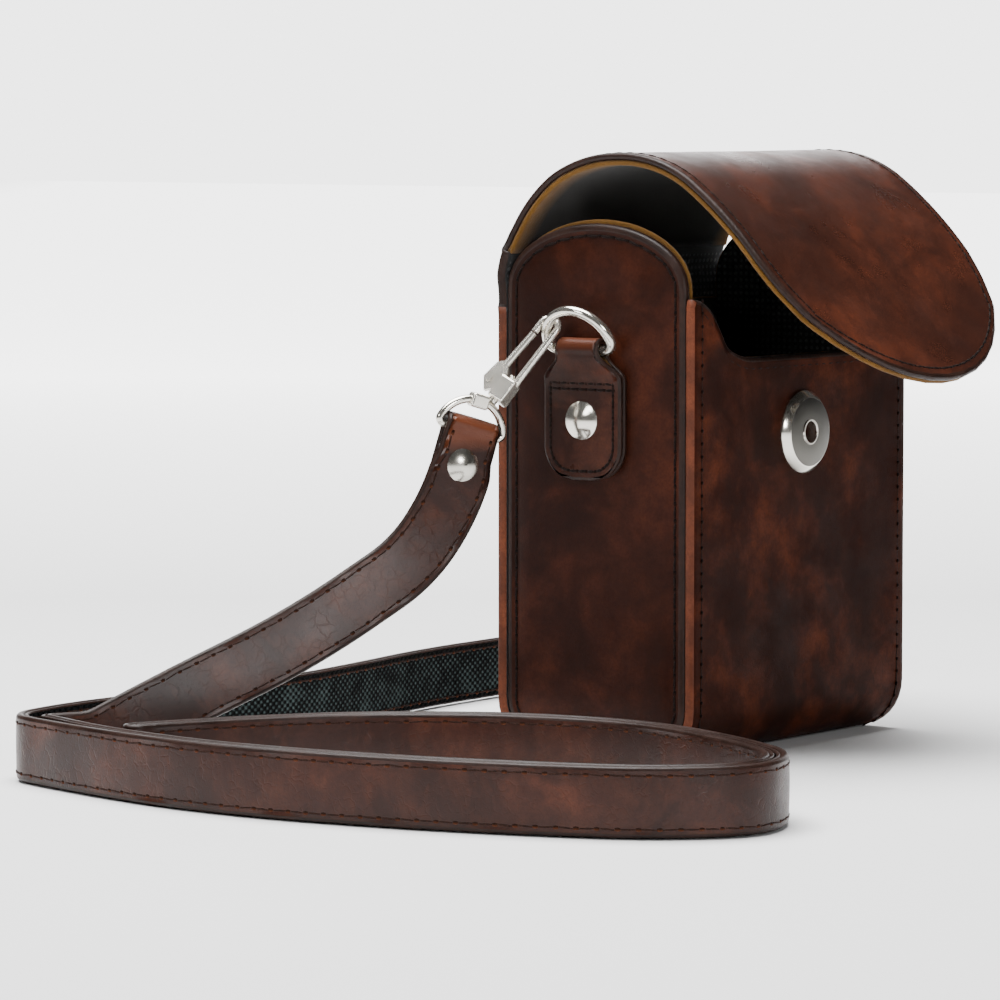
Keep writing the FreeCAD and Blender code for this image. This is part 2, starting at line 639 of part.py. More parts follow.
def make_clasp(bar_world, bar_along):
    """Swivel ring, trigger hook and gate. u runs from the strap ring's bar to the D-ring's wire."""
    point, wire_along = hold_point()
    u_axis = unit(point - bar_world)
    ring_up = unit(u_axis - bar_along * u_axis.dot(bar_along))
    v_axis = unit(wire_along.cross(u_axis))
    if v_axis.z < 0:
        v_axis = v_axis * -1

    ring = bent_wire(
        d_path(STRAP_RING_R, STRAP_RING_H, STRAP_RING_CORNER_R), V(0, 0, 0), V(1, 0, 0), STRAP_RING_WIRE_R
    )
    ring = place(ring, bar_world, bar_along, ring_up)
    add_pair("strap_ring", ring)

    def hook_place(shape):
        return place(shape, bar_world, u_axis, v_axis)

    # Swivel: a saddle round the strap ring with a stud that the hook turns on.
    saddle = Part.makeBox(3.4, 4.4, 3.8, V(5.5, -2.2, -1.9))
    saddle = saddle.makeFillet(0.7, saddle.Edges)
    stud = cylinder(V(8.4, 0, 0), V(1, 0, 0), 1.1, 2.7)
    yoke = place(saddle, bar_world, ring_up, bar_along)
    yoke = yoke.fuse(hook_place(stud)).cut(ring)
    add_pair("swivel_saddle", yoke)

    # Hook: block, fixed arm and nose.
    block = Part.makeBox(
        BLOCK_END - BLOCK_START, BLOCK_HIGH - BLOCK_LOW, 2 * BLOCK_HALF_T,
        V(BLOCK_START, BLOCK_LOW, -BLOCK_HALF_T),
    )
    block = block.makeFillet(0.5, block.Edges)
    slot = Part.makeBox(10, 10, 1.6, V(11.5, -1.5, -0.8))
    bore = cylinder(V(8, 0, 0), V(1, 0, 0), 1.15, 3.3)
    pin_hole = cylinder(V(GATE_PIVOT_U, GATE_PIVOT_V, -5), V(0, 0, 1), PIN_R, 10)
    arm_path = Part.Wire([
        line(V(BLOCK_END - 0.6, ARM_V, 0), V(NOSE_U, ARM_V, 0)),
        arc(V(NOSE_U, ARM_V, 0), V(NOSE_U - ARM_V, 0, 0), V(NOSE_U, -ARM_V, 0)),
        line(V(NOSE_U, -ARM_V, 0), V(NOSE_END_U, -ARM_V, 0)),
    ])
    arm = bent_wire(arm_path, V(BLOCK_END - 0.6, ARM_V, 0), V(1, 0, 0), ROD_R)
    add_pair("hook_body", hook_place(block.cut(slot).cut(bore).cut(pin_hole).fuse(arm)))
    pin_start = V(GATE_PIVOT_U, GATE_PIVOT_V, -BLOCK_HALF_T - 0.2)
    pin = cylinder(pin_start, V(0, 0, 1), PIN_R, 2 * BLOCK_HALF_T + 0.4)
    add_pair("gate_pin", hook_place(pin))

    # Gate: a rod with a flat thumb lever, turning on the pin in the block's slot.
    lever = polygon([
        V(12.4, 0.6, -0.65), V(9.8, 3.4, -0.65), V(12.6, 5.6, -0.65), V(17.0, 4.9, -0.65),
        V(18.2, 3.6, -0.65), V(17.6, 1.9, -0.65), V(14.4, 0.0, -0.65),
    ], V(0, 0, 1.3))
    hub = cylinder(V(GATE_PIVOT_U, GATE_PIVOT_V, -0.65), V(0, 0, 1), 1.2, 1.3)
    rod_start = V(16.8, 2.9, 0)
    rod_end = V(GATE_TIP_U, -ARM_V, 0)
    rod = cylinder(rod_start, rod_end - rod_start, ROD_R, (rod_end - rod_start).Length)
    thumb = cylinder(V(12.9, 4.2, -1.1), V(0, 0, 1), 0.9, 2.2)
    turning = cylinder(V(GATE_PIVOT_U, GATE_PIVOT_V, -5), V(0, 0, 1), PIN_R + 0.05, 10)
    add_pair("hook_gate", hook_place(lever.fuse(hub).fuse(rod).fuse(thumb).cut(turning)))

    # Gate spring: a short coil between the block and the lever, as a plain tube.
    foot = V(15.25, -0.9, 0)
    lean = unit(V(1.0, 0.75, 0))
    coil = cylinder(foot, lean, 0.7, 1.2).cut(cylinder(foot, lean, 0.4, 1.2))
    add_pair("gate_spring", hook_place(coil))
    return u_axis, v_axis


make_case()
make_snap_socket()
pole, close_angle = make_flap()
make_tab()
make_d_ring()
bar_world, bar_along, length = make_strap()
u_axis, v_axis = make_clasp(bar_world, bar_along)
for name, shape in nodes.items():
    shape.exportStep(os.path.join("parts", name + ".step"))

pivot = bar_world + u_axis * GATE_PIVOT_U + v_axis * GATE_PIVOT_V
print("nodes", len(nodes))
end_length = strap_length(END_ROUTE, largest_radii(END_ROUTE))
print("strap length with its two ends", round(length + 2 * end_length, 1))
print("flap pole", pole, "closing angle", round(close_angle, 2))
print("D-ring axis", RING_AXIS)
print("clasp: bar", bar_world, "u", u_axis, "v", v_axis, "w", u_axis.cross(v_axis))
print("gate pivot", pivot)
for name, shape in nodes.items():
    if not shape.isValid() or len(shape.Solids) != 1:
        print("CHECK", name, "valid", shape.isValid(), "solids", len(shape.Solids))
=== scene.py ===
import math
import random

import bmesh
import bpy
from bpy.props import FloatProperty, FloatVectorProperty, IntProperty, PointerProperty
from mathutils import Matrix, Vector, noise


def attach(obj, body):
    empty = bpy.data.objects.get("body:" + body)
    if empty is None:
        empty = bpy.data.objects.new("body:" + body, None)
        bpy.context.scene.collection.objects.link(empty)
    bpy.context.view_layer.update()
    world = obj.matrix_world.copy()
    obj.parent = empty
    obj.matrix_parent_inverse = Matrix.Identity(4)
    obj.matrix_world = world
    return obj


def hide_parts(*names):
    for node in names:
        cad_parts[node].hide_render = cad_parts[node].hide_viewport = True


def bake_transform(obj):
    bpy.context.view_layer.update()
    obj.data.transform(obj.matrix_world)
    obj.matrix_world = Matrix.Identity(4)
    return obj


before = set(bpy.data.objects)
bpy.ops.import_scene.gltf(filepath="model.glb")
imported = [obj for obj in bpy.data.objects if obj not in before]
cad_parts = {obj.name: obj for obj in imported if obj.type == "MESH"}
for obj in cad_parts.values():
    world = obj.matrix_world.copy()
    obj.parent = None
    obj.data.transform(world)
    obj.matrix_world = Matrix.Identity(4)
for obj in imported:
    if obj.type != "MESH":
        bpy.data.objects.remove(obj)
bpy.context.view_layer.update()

bl_info = {
    "name": "Leather ever ready case",
    "version": (1, 0, 0),
    "blender": (4, 5, 0),
    "location": "View3D > Sidebar > Ready Case",
    "description": "Builds the leather, thread and metal of an ever ready case round its frame",
    "category": "Object",
}

MM = 0.001


def length_prop(name, description, millimetres):
    return FloatProperty(
        name=name, description=description, default=millimetres * MM, unit="LENGTH", precision=5
    )


def colour_prop(name, description, colour):
    return FloatVectorProperty(
        name=name, description=description, default=colour, size=3, min=0, max=1, subtype="COLOR"
    )


# ------------------------------------------------------------------ sizes and colours

class CaseSizes(bpy.types.PropertyGroup):
    """The wrap and the side panels."""
    width: length_prop("Width", "Across the front of the case", 90)
    depth: length_prop("Depth", "From the front face to the back face", 56)
    front_top: length_prop("Front height", "Top of the ears beside the cut-out", 107)
    front_low: length_prop("Cut-out height", "Lowest line of the cut-out in the front", 93)
    hinge_start: length_prop("Hinge height", "Where the back panel turns into the flap's hinge", 104)
    arch_spring: length_prop("Arch spring", "Where the round top of a side panel starts", 109)
    arch_top: length_prop("Arch top", "Top of a side panel", 124)
    bend: length_prop("Bend", "Radius of the wrap's bend under the case", 12)
    leather: length_prop("Leather", "Thickness of the wrap and the side panels", 2.4)
    lining: length_prop("Lining", "Thickness of the glued lining", 0.8)
    lining_rim: length_prop("Lining rim", "How far the side lining stands above its panel", 0.9)


class FlapSizes(bpy.types.PropertyGroup):
    """The one-piece flap."""
    leather: length_prop("Leather", "Thickness of the flap's leather", 1.6)
    lining: length_prop("Lining", "Thickness of its suede", 1.3)
    tongue: length_prop("Tongue", "Straight length below the last bend", 33.03)
    tip_radius: length_prop("Tip radius", "Radius of the tongue's round end", 50)
    shoulder: length_prop("Shoulder", "Half the tongue's width where its round end starts", 40.5)
    stitch_in: length_prop("Stitch line", "From the edge to the stitches", 3.0)


class TabSizes(bpy.types.PropertyGroup):
    """The tabs that carry the D-rings."""
    centre: length_prop("Centre", "Middle of the tab, from the middle of the side", 1.5)
    width: length_prop("Width", "Width of the tab", 22)
    neck: length_prop("Neck", "Width where it turns over the D-ring", 12)
    bottom: length_prop("Bottom", "Height of its lower end", 64.5)
    shoulder: length_prop("Shoulder", "Height where it starts to narrow", 88)
    ply: length_prop("Ply", "Thickness of each of its two layers", 1.42)
    corner: length_prop("Corner", "Radius of its lower corners", 8)


class StrapSizes(bpy.types.PropertyGroup):
    """The neck strap."""
    width: length_prop("Width", "Width of the strap", 15)
    leather: length_prop("Leather", "Thickness of the leather", 1.8)
    lining: length_prop("Lining", "Thickness of the woven backing", 0.9)
    fold_width: length_prop("Fold width", "Width where it turns over the strap ring", 13.4)
    tail: length_prop("Tail", "Turned-back length under the rivet", 17)
    stitch_in: length_prop("Stitch line", "From the edge to the stitches", 1.9)
    pitch: length_prop("Stitch pitch", "From one stitch to the next", 4.4)


class ThreadSizes(bpy.types.PropertyGroup):
    """The stitches."""
    pitch: length_prop("Pitch", "From one stitch to the next", 4.0)
    thread: length_prop("Thread", "Radius of the thread", 0.30)
    hole: length_prop("Hole", "Radius of the needle hole", 0.50)
    seed: IntProperty(name="Seed", description="Changes the small unevenness of the handwork", default=7)


class Finishes(bpy.types.PropertyGroup):
    """Colours of the leathers, cloths and metals."""
    case_leather: colour_prop("Case leather", "Brown of the case", (0.021, 0.0052, 0.0024))
    case_warm: colour_prop("Case rub", "Red-brown where the finish is rubbed", (0.105, 0.024, 0.009))
    flap_leather: colour_prop("Flap leather", "Brown of the flap", (0.033, 0.0090, 0.0046))
    strap_leather: colour_prop("Strap leather", "Brown of the strap", (0.026, 0.0066, 0.0031))
    # Also the colour on the tab's and the strap's folds: partly stretched leather, partly a painted
    # highlight.
    strap_rub_and_highlight: colour_prop("Strap rub", "Orange-brown of its folds", (0.150, 0.042, 0.018))
    cut_edge: colour_prop("Cut edge", "Tan of the bare cut edge", (0.075, 0.0190, 0.0075))
    painted_edge: colour_prop("Painted edge", "Dark paint on the rims", (0.0125, 0.0050, 0.0032))
    suede: colour_prop("Suede", "Mustard of the suede", (0.200, 0.092, 0.016))
    lining: colour_prop("Lining", "Black of the net lining", (0.008, 0.009, 0.009))
    webbing: colour_prop("Webbing", "Dark yarn of the strap's backing", (0.0010, 0.0012, 0.0012))
    webbing_light: colour_prop("Webbing light", "Grey-green yarn of the backing", (0.052, 0.072, 0.070))
    thread: colour_prop("Thread", "Waxed thread", (0.020, 0.0070, 0.0038))
    hole: colour_prop("Needle hole", "Lip of a needle hole", (0.095, 0.029, 0.011))
    nickel: colour_prop("Nickel", "Plated fittings", (0.62, 0.59, 0.53))


class ReadyCase(bpy.types.PropertyGroup):
    """Everything that can be changed."""
    case: PointerProperty(type=CaseSizes)
    flap: PointerProperty(type=FlapSizes)
    tab: PointerProperty(type=TabSizes)
    strap: PointerProperty(type=StrapSizes)
    stitch: PointerProperty(type=ThreadSizes)
    finish: PointerProperty(type=Finishes)


# ------------------------------------------------------------------ lines and curves

def arc_points(a, b, c, count):
    """Points on the circle through a, b and c, from a to c."""
    ab, ac = b - a, c - a
    normal = ab.cross(ac)
    if normal.length < 1e-12:
        return [a.lerp(c, k / count) for k in range(count + 1)]
    to_centre = (normal.cross(ab) * ac.length_squared + ac.cross(normal) * ab.length_squared)
    to_centre /= 2 * normal.length_squared
    centre = a + to_centre
    axis = normal.normalized()
    start, end = a - centre, c - centre
    turn = math.atan2(axis.dot(start.cross(end)), start.dot(end)) % math.tau
    return [centre + Matrix.Rotation(turn * k / count, 3, axis) @ start for k in range(count + 1)]


def soft_corners(points, reaches, step):
    """A line that rounds each corner with a parabola that starts its reach before the corner."""
    line = [points[0]]
    for k in range(1, len(points) - 1):
        before, corner, after = points[k - 1], points[k], points[k + 1]
        a = corner + (before - corner).normalized() * reaches[k]
        b = corner + (after - corner).normalized() * reaches[k]
        count = max(6, int((a - b).length / step))
        for n in range(count + 1):
            t = n / count
            line.append(a * (1 - t) ** 2 + corner * 2 * t * (1 - t) + b * t ** 2)
    line.append(points[-1])
    return line


def half_runs(points):
    """The longest reach at each corner that leaves its neighbours the same room."""
    share = 0.49
    reaches = [0.0]
    for a, b, c in zip(points, points[1:], points[2:]):
        reaches.append(share * min((b - a).length, (c - b).length))
    return reaches + [0.0]


def evenly(line, step):
    """The same line with points an even step apart."""
    total = sum((b - a).length for a, b in zip(line, line[1:]))
    count = max(2, round(total / step))
    gap = total / count
    even, due, gone = [line[0].copy()], gap, 0.0
    for a, b in zip(line, line[1:]):
        run = (b - a).length
        while run > 0 and due <= gone + run + 1e-9 and len(even) < count:
            even.append(a.lerp(b, (due - gone) / run))
            due += gap
        gone += run
    even.append(line[-1].copy())
    return even


def moved_left(points, distance):
    """The corners of a level line moved to the left of the walking direction."""
    up = Vector((0, 0, 1))
    moved = []
    for k, point in enumerate(points):
        before = (point - points[k - 1]).normalized() if k > 0 else None
        after = (points[k + 1] - point).normalized() if k + 1 < len(points) else None
        before, after = before or after, after or before
        left_a, left_b = up.cross(before), up.cross(after)
        moved.append(point + (left_a + left_b) * (distance / (1 + left_a.dot(left_b))))
    return moved


def inset_loop(loop, distance, normal):
    """A closed flat outline moved inwards."""
    count = len(loop)
    centre = sum(loop, Vector()) / count
    inner = []
    for k, point in enumerate(loop):
        along = (loop[(k + 1) % count] - loop[k - 1]).normalized()
        inward = normal.cross(along)
        if inward.dot(centre - point) < 0:
            inward = -inward
        inner.append(point + inward * distance)
    return inner


def through(knots, x):
    """Height at x of a smooth line through the knots, which go up in x."""
    if x <= knots[0][0]:
        return knots[0][1]
    if x >= knots[-1][0]:
        return knots[-1][1]
    k = max(i for i in range(len(knots) - 1) if knots[i][0] <= x)
    (x0, y0), (x1, y1) = knots[k], knots[k + 1]
    before = knots[max(k - 1, 0)]
    after = knots[min(k + 2, len(knots) - 1)]
    slope_a = (y1 - before[1]) / (x1 - before[0])
    slope_b = (after[1] - y0) / (after[0] - x0)
    gap = x1 - x0
    t = (x - x0) / gap
    return (
        (2 * t ** 3 - 3 * t ** 2 + 1) * y0 + (t ** 3 - 2 * t ** 2 + t) * gap * slope_a
        + (3 * t ** 2 - 2 * t ** 3) * y1 + (t ** 3 - t ** 2) * gap * slope_b
    )


def mirrored(vector):
    """The same place or direction on the other side of the case."""
    return Vector((-vector.x, vector.y, vector.z))


def mirrored_rows(rows):
    """The same rows of places and normals on the other side of the case."""
    return [[tuple(mirrored(v) for v in stop) for stop in row] for row in rows]


def face_normals(line, across):
    """Pairs each point of a line with the normal of the face that it lies on."""
    row = []
    for k, point in enumerate(line):
        along = line[min(k + 1, len(line) - 1)] - line[max(k - 1, 0)]
        row.append((point, along.cross(across).normalized() * -1))
    return row


def unevenness(point, scale, seed):
    """A smooth value from -1 to 1 that wanders over the leather."""
    return noise.noise(point * scale + Vector((seed, 0, 0)))


# ------------------------------------------------------------------ meshes

def new_piece(name, verts, faces, finishes, face_finish=None, marks=None):
    """A smooth mesh with its finishes, and its place along and across the leather as a map."""
    mesh = bpy.data.meshes.new(name)
    mesh.from_pydata([tuple(v) for v in verts], [], faces)
    for material in finishes:
        mesh.materials.append(material)
    for k, polygon in enumerate(mesh.polygons):
        polygon.use_smooth = True
        if face_finish:
            polygon.material_index = face_finish[k]
    if marks:
        layer = mesh.uv_layers.new(name="Leather")
        for loop in mesh.loops:
            layer.data[loop.index].uv = marks[loop.vertex_index]
    work = bmesh.new()
    work.from_mesh(mesh)
    bmesh.ops.recalc_face_normals(work, faces=work.faces)
    work.to_mesh(mesh)
    work.free()
    mesh.validate()
    piece = bpy.data.objects.new(name, mesh)
    bpy.context.scene.collection.objects.link(piece)
    return piece


def thick_skin(name, points, faces, rim, thickness, finishes, marks, rim_round=None, rim_finish=None,
               painted=False):
    """A closed leather piece from its outer face: a back face one thickness below, and a rounded rim.

    finishes are the outer face, the back and the rim, then any more that rim_finish names."""
    normals = [Vector() for _ in points]
    middles = [Vector() for _ in points]
    shares = [0] * len(points)
    for face in faces:
        corners = [points[i] for i in face]
        across = (corners[2] - corners[0]).cross(corners[-1] - corners[1])
        middle = sum(corners, Vector()) / len(corners)
        for i in face:
            normals[i] += across
            middles[i] += middle
            shares[i] += 1
    normals = [n.normalized() for n in normals]
    thick = thickness if isinstance(thickness, list) else [thickness] * len(points)
    rim_round = rim_round or [1.0] * len(rim)
    rim_finish = rim_finish or [2] * len(rim)

    outer = [p.copy() for p in points]
    outward = []
    for k, i in enumerate(rim):
        along = points[rim[(k + 1) % len(rim)]] - points[rim[k - 1]]
        out = along.cross(normals[i]).normalized()
        if out.dot(middles[i] / shares[i] - points[i]) > 0:
            out = -out
        outward.append(out)
        outer[i] = points[i] - out * (thick[i] / 2 * rim_round[k])
    back = [outer[i] - normals[i] * thick[i] for i in range(len(points))]
    count = len(points)
    verts = outer + back
    mesh_marks = list(marks) * 2
    mesh_faces = [tuple(face) for face in faces]
    on_rim = set(rim)
    rim_of = dict(zip(rim, rim_finish))
    face_finish = []
    for face in faces:
        touching = [rim_of[i] for i in face if i in on_rim]
        face_finish.append(touching[0] if painted and touching else 0)
    mesh_faces += [tuple(i + count for i in reversed(face)) for face in faces]
    face_finish += [1] * len(faces)

    steps = 6
    columns = []
    for k, i in enumerate(rim):
        radius = thick[i] / 2
        column = [i]
        for n in range(1, steps):
            angle = math.pi * n / steps
            verts.append(
                outer[i] - normals[i] * (radius * (1 - math.cos(angle)))
                + outward[k] * (radius * rim_round[k] * math.sin(angle))
            )
            mesh_marks.append(marks[i])
            column.append(len(verts) - 1)
        column.append(i + count)
        columns.append(column)
    for k in range(len(rim)):
        one, two = columns[k], columns[(k + 1) % len(rim)]
        for n in range(steps):
            mesh_faces.append((one[n], one[n + 1], two[n + 1], two[n]))
            face_finish.append(rim_finish[k])
    return new_piece(name, verts, mesh_faces, finishes, face_finish, mesh_marks)


def sheet(name, grid, outward, thickness, finishes, end_round=(1.0, 1.0), side_round=1.0, side_finish=2,
          painted=False):
    """A thick skin from rows of points on its outer face, which looks outward at its first row."""
    rows, cols = len(grid), len(grid[0])
    if (grid[0][1] - grid[0][0]).cross(grid[1][0] - grid[0][0]).dot(outward) < 0:
        grid = [row[::-1] for row in grid]
    points = [p for row in grid for p in row]
    faces = [
        (r * cols + c, r * cols + c + 1, (r + 1) * cols + c + 1, (r + 1) * cols + c)
        for r in range(rows - 1) for c in range(cols - 1)
    ]
    first = [(0, c) for c in range(cols)]
    right = [(r, cols - 1) for r in range(1, rows - 1)]
    last = [(rows - 1, c) for c in range(cols - 1, -1, -1)]
    left = [(r, 0) for r in range(rows - 2, 0, -1)]
    rim = [r * cols + c for r, c in first + right + last + left]
    rim_round = [end_round[0]] * len(first) + [side_round] * len(right)
    rim_round += [end_round[1]] * len(last) + [side_round] * len(left)
    rim_finish = [2] * (len(first) - 1) + [side_finish] * (len(right) + 1)
    rim_finish += [2] * (len(last) - 1) + [side_finish] * (len(left) + 1)
    middle = cols // 2
    along, across = [0.0], []
    for r in range(1, rows):
        along.append(along[-1] + (grid[r][middle] - grid[r - 1][middle]).length)
    for row in grid:
        place = [0.0]
        for c in range(1, cols):
            place.append(place[-1] + (row[c] - row[c - 1]).length)
        across.append([v - place[middle] for v in place])
    marks = [(along[r], across[r][c]) for r in range(rows) for c in range(cols)]
    thick = thickness
    if isinstance(thickness, list):
        thick = [thickness[r] for r in range(rows) for _ in range(cols)]
    return thick_skin(name, points, faces, rim, thick, finishes, marks, rim_round, rim_finish, painted)


def plate(name, outline, normal, thickness, finishes, bulge=0.0, painted=False, groove=0.0, seed=1):
    """A thick skin from a flat closed outline, with a groove for the stitches and a swell in its middle."""
    count = len(outline)
    centre = sum(outline, Vector()) / count
    loops = [(outline, 0.0)]
    for inset, lift in ((1.7, 0.0), (2.9, -groove), (4.1, 0.1 * bulge)):
        loops.append((inset_loop(outline, inset * MM, normal), lift))
    inner = loops[-1][0]
    for share in (0.86, 0.7, 0.53, 0.36, 0.18):
        ring = [centre + (point - centre) * share for point in inner]
        loops.append((ring, bulge * (1 - share ** 3)))
    points, marks = [], []
    for ring, lift in loops:
        for here in ring:
            rise = lift * (1 + 0.6 * unevenness(here, 30, seed)) if lift > 0 else lift
            points.append(here + normal * rise)
            marks.append((here.z, here.y))
    points.append(centre + normal * bulge)
    marks.append((centre.z, centre.y))
    faces = []
    for ring in range(len(loops) - 1):
        for k in range(count):
            a, b = ring * count + k, ring * count + (k + 1) % count
            faces.append((a, b, b + count, a + count))
    last = (len(loops) - 1) * count
    faces += [(last + k, last + (k + 1) % count, len(points) - 1) for k in range(count)]
    a, b = points[0] - centre, points[1] - centre
    if a.cross(b).dot(normal) < 0:
        faces = [tuple(reversed(face)) for face in faces]
    return thick_skin(name, points, faces, list(range(count)), thickness, finishes, marks, painted=painted)


def turned(name, profile, origin, axis, finishes, sides=64, bands=None):
    """A metal piece turned round an axis, from a closed profile of (radius, height).

    bands gives the finish of each step of the profile."""
    sharp_from = math.radians(24)
    axis = Vector(axis).normalized()
    side = axis.orthogonal().normalized()
    verts, rings = [], []
    for radius, height in profile:
        ring = []
        if radius < 1e-7:
            verts.append(origin + axis * height)
            ring = [len(verts) - 1] * sides
        else:
            for k in range(sides):
                spoke = Matrix.Rotation(math.tau * k / sides, 3, axis) @ side
                verts.append(origin + axis * height + spoke * radius)
                ring.append(len(verts) - 1)
        rings.append(ring)
    faces, face_finish = [], []
    pairs = list(zip(rings, rings[1:]))
    if profile[0][0] > 1e-7:
        pairs.append((rings[-1], rings[0]))
    bands = bands or [0] * len(pairs)
    for (one, two), band in zip(pairs, bands):
        for k in range(sides):
            n = (k + 1) % sides
            corners = [one[k], one[n], two[n], two[k]]
            face = tuple(dict.fromkeys(corners))
            if len(face) > 2:
                faces.append(face)
                face_finish.append(band)
    piece = new_piece(name, verts, faces, finishes, face_finish)
    piece.data.set_sharp_from_angle(angle=sharp_from)
    return piece


def tube(name, line, radius, metal, sides):
    """A round wire along a line, closed at both ends."""
    verts, faces = [], []
    up = Vector((0, 0, 1))
    for k, point in enumerate(line):
        along = (line[min(k + 1, len(line) - 1)] - line[max(k - 1, 0)]).normalized()
        side = along.cross(up)
        side = side.normalized() if side.length > 1e-3 else along.orthogonal().normalized()
        up = side.cross(along).normalized()
        for n in range(sides):
            angle = math.tau * n / sides
            verts.append(point + (side * math.cos(angle) + up * math.sin(angle)) * radius)
    for k in range(len(line) - 1):
        for n in range(sides):
            a, b = k * sides + n, k * sides + (n + 1) % sides
            faces.append((a, b, b + sides, a + sides))
    faces.append(tuple(reversed(range(sides))))
    faces.append(tuple(range((len(line) - 1) * sides, len(line) * sides)))
    return new_piece(name, verts, faces, [metal])


def sew(name, rows, pitch, stitch, finishes, weight, hole_weight=None):
    """Rows of stitches with a needle hole at each end. A row is a list of (point, face normal).

    weight makes the thread thicker or thinner, and the holes with it unless they have their own."""
    chance = random.Random(stitch.seed)
    verts, faces, face_finish = [], [], []
    sides = 6

    def blob(centre, along, normal, half, radius, lift, slot):
        """A closed bead, pointed at both ends, that bows up by lift."""
        side = normal.cross(along).normalized()
        first = len(verts)
        rings = [(-1.0, 0.0), (-0.72, 0.8), (0.0, 1.0), (0.72, 0.8), (1.0, 0.0)]
        for place, share in rings:
            bow = normal * (lift * (1 - place * place))
            middle = centre + along * (half * place) + bow
            if share == 0.0:
                verts.append(middle)
                continue
            for n in range(sides):
                angle = math.tau * n / sides
                spoke = side * math.cos(angle) + normal * (math.sin(angle) * 0.8)
                verts.append(middle + spoke * (radius * share))
        for n in range(sides):
            m = (n + 1) % sides
            faces.append((first, first + 1 + m, first + 1 + n))
            for ring in (0, 1):
                a = first + 1 + ring * sides
                faces.append((a + n, a + m, a + sides + m, a + sides + n))
            end = first + 1 + 3 * sides
            faces.append((end - sides + n, end - sides + m, end))
        face_finish.extend([slot] * (4 * sides))

    for row in rows:
        line = [p for p, _ in row]
        total = sum((b - a).length for a, b in zip(line, line[1:]))
        count = max(1, round(total / pitch))
        gap = total / count
        stops = []
        gone, k = 0.0, 0
        for n in range(2 * count + 1):
            due = gap * n / 2
            while k < len(line) - 2 and gone + (line[k + 1] - line[k]).length < due - 1e-9:
                gone += (line[k + 1] - line[k]).length
                k += 1
            run = (line[k + 1] - line[k]).length
            t = min(1.0, (due - gone) / run) if run > 0 else 0.0
            normal = row[k][1].lerp(row[k + 1][1], t).normalized()
            stops.append((line[k].lerp(line[k + 1], t), normal, (line[k + 1] - line[k]).normalized()))
        for n, (centre, normal, along) in enumerate(stops):
            if n % 2 == 0:
                hole = stitch.hole * (hole_weight or weight)
                blob(centre - normal * hole * 0.5, along, normal, hole * 1.2, hole, 0, 1)
                continue
            twist = Matrix.Rotation(chance.uniform(-0.10, 0.10), 3, normal)
            thread = stitch.thread * weight
            blob(
                centre - normal * thread * 0.3, twist @ along, normal,
                gap * chance.uniform(0.40, 0.44), thread, thread * 0.3, 0,
            )
    return new_piece(name, verts, faces, finishes, face_finish)


# ------------------------------------------------------------------ finishes

BUMP_DEPTH = 0.4 * MM


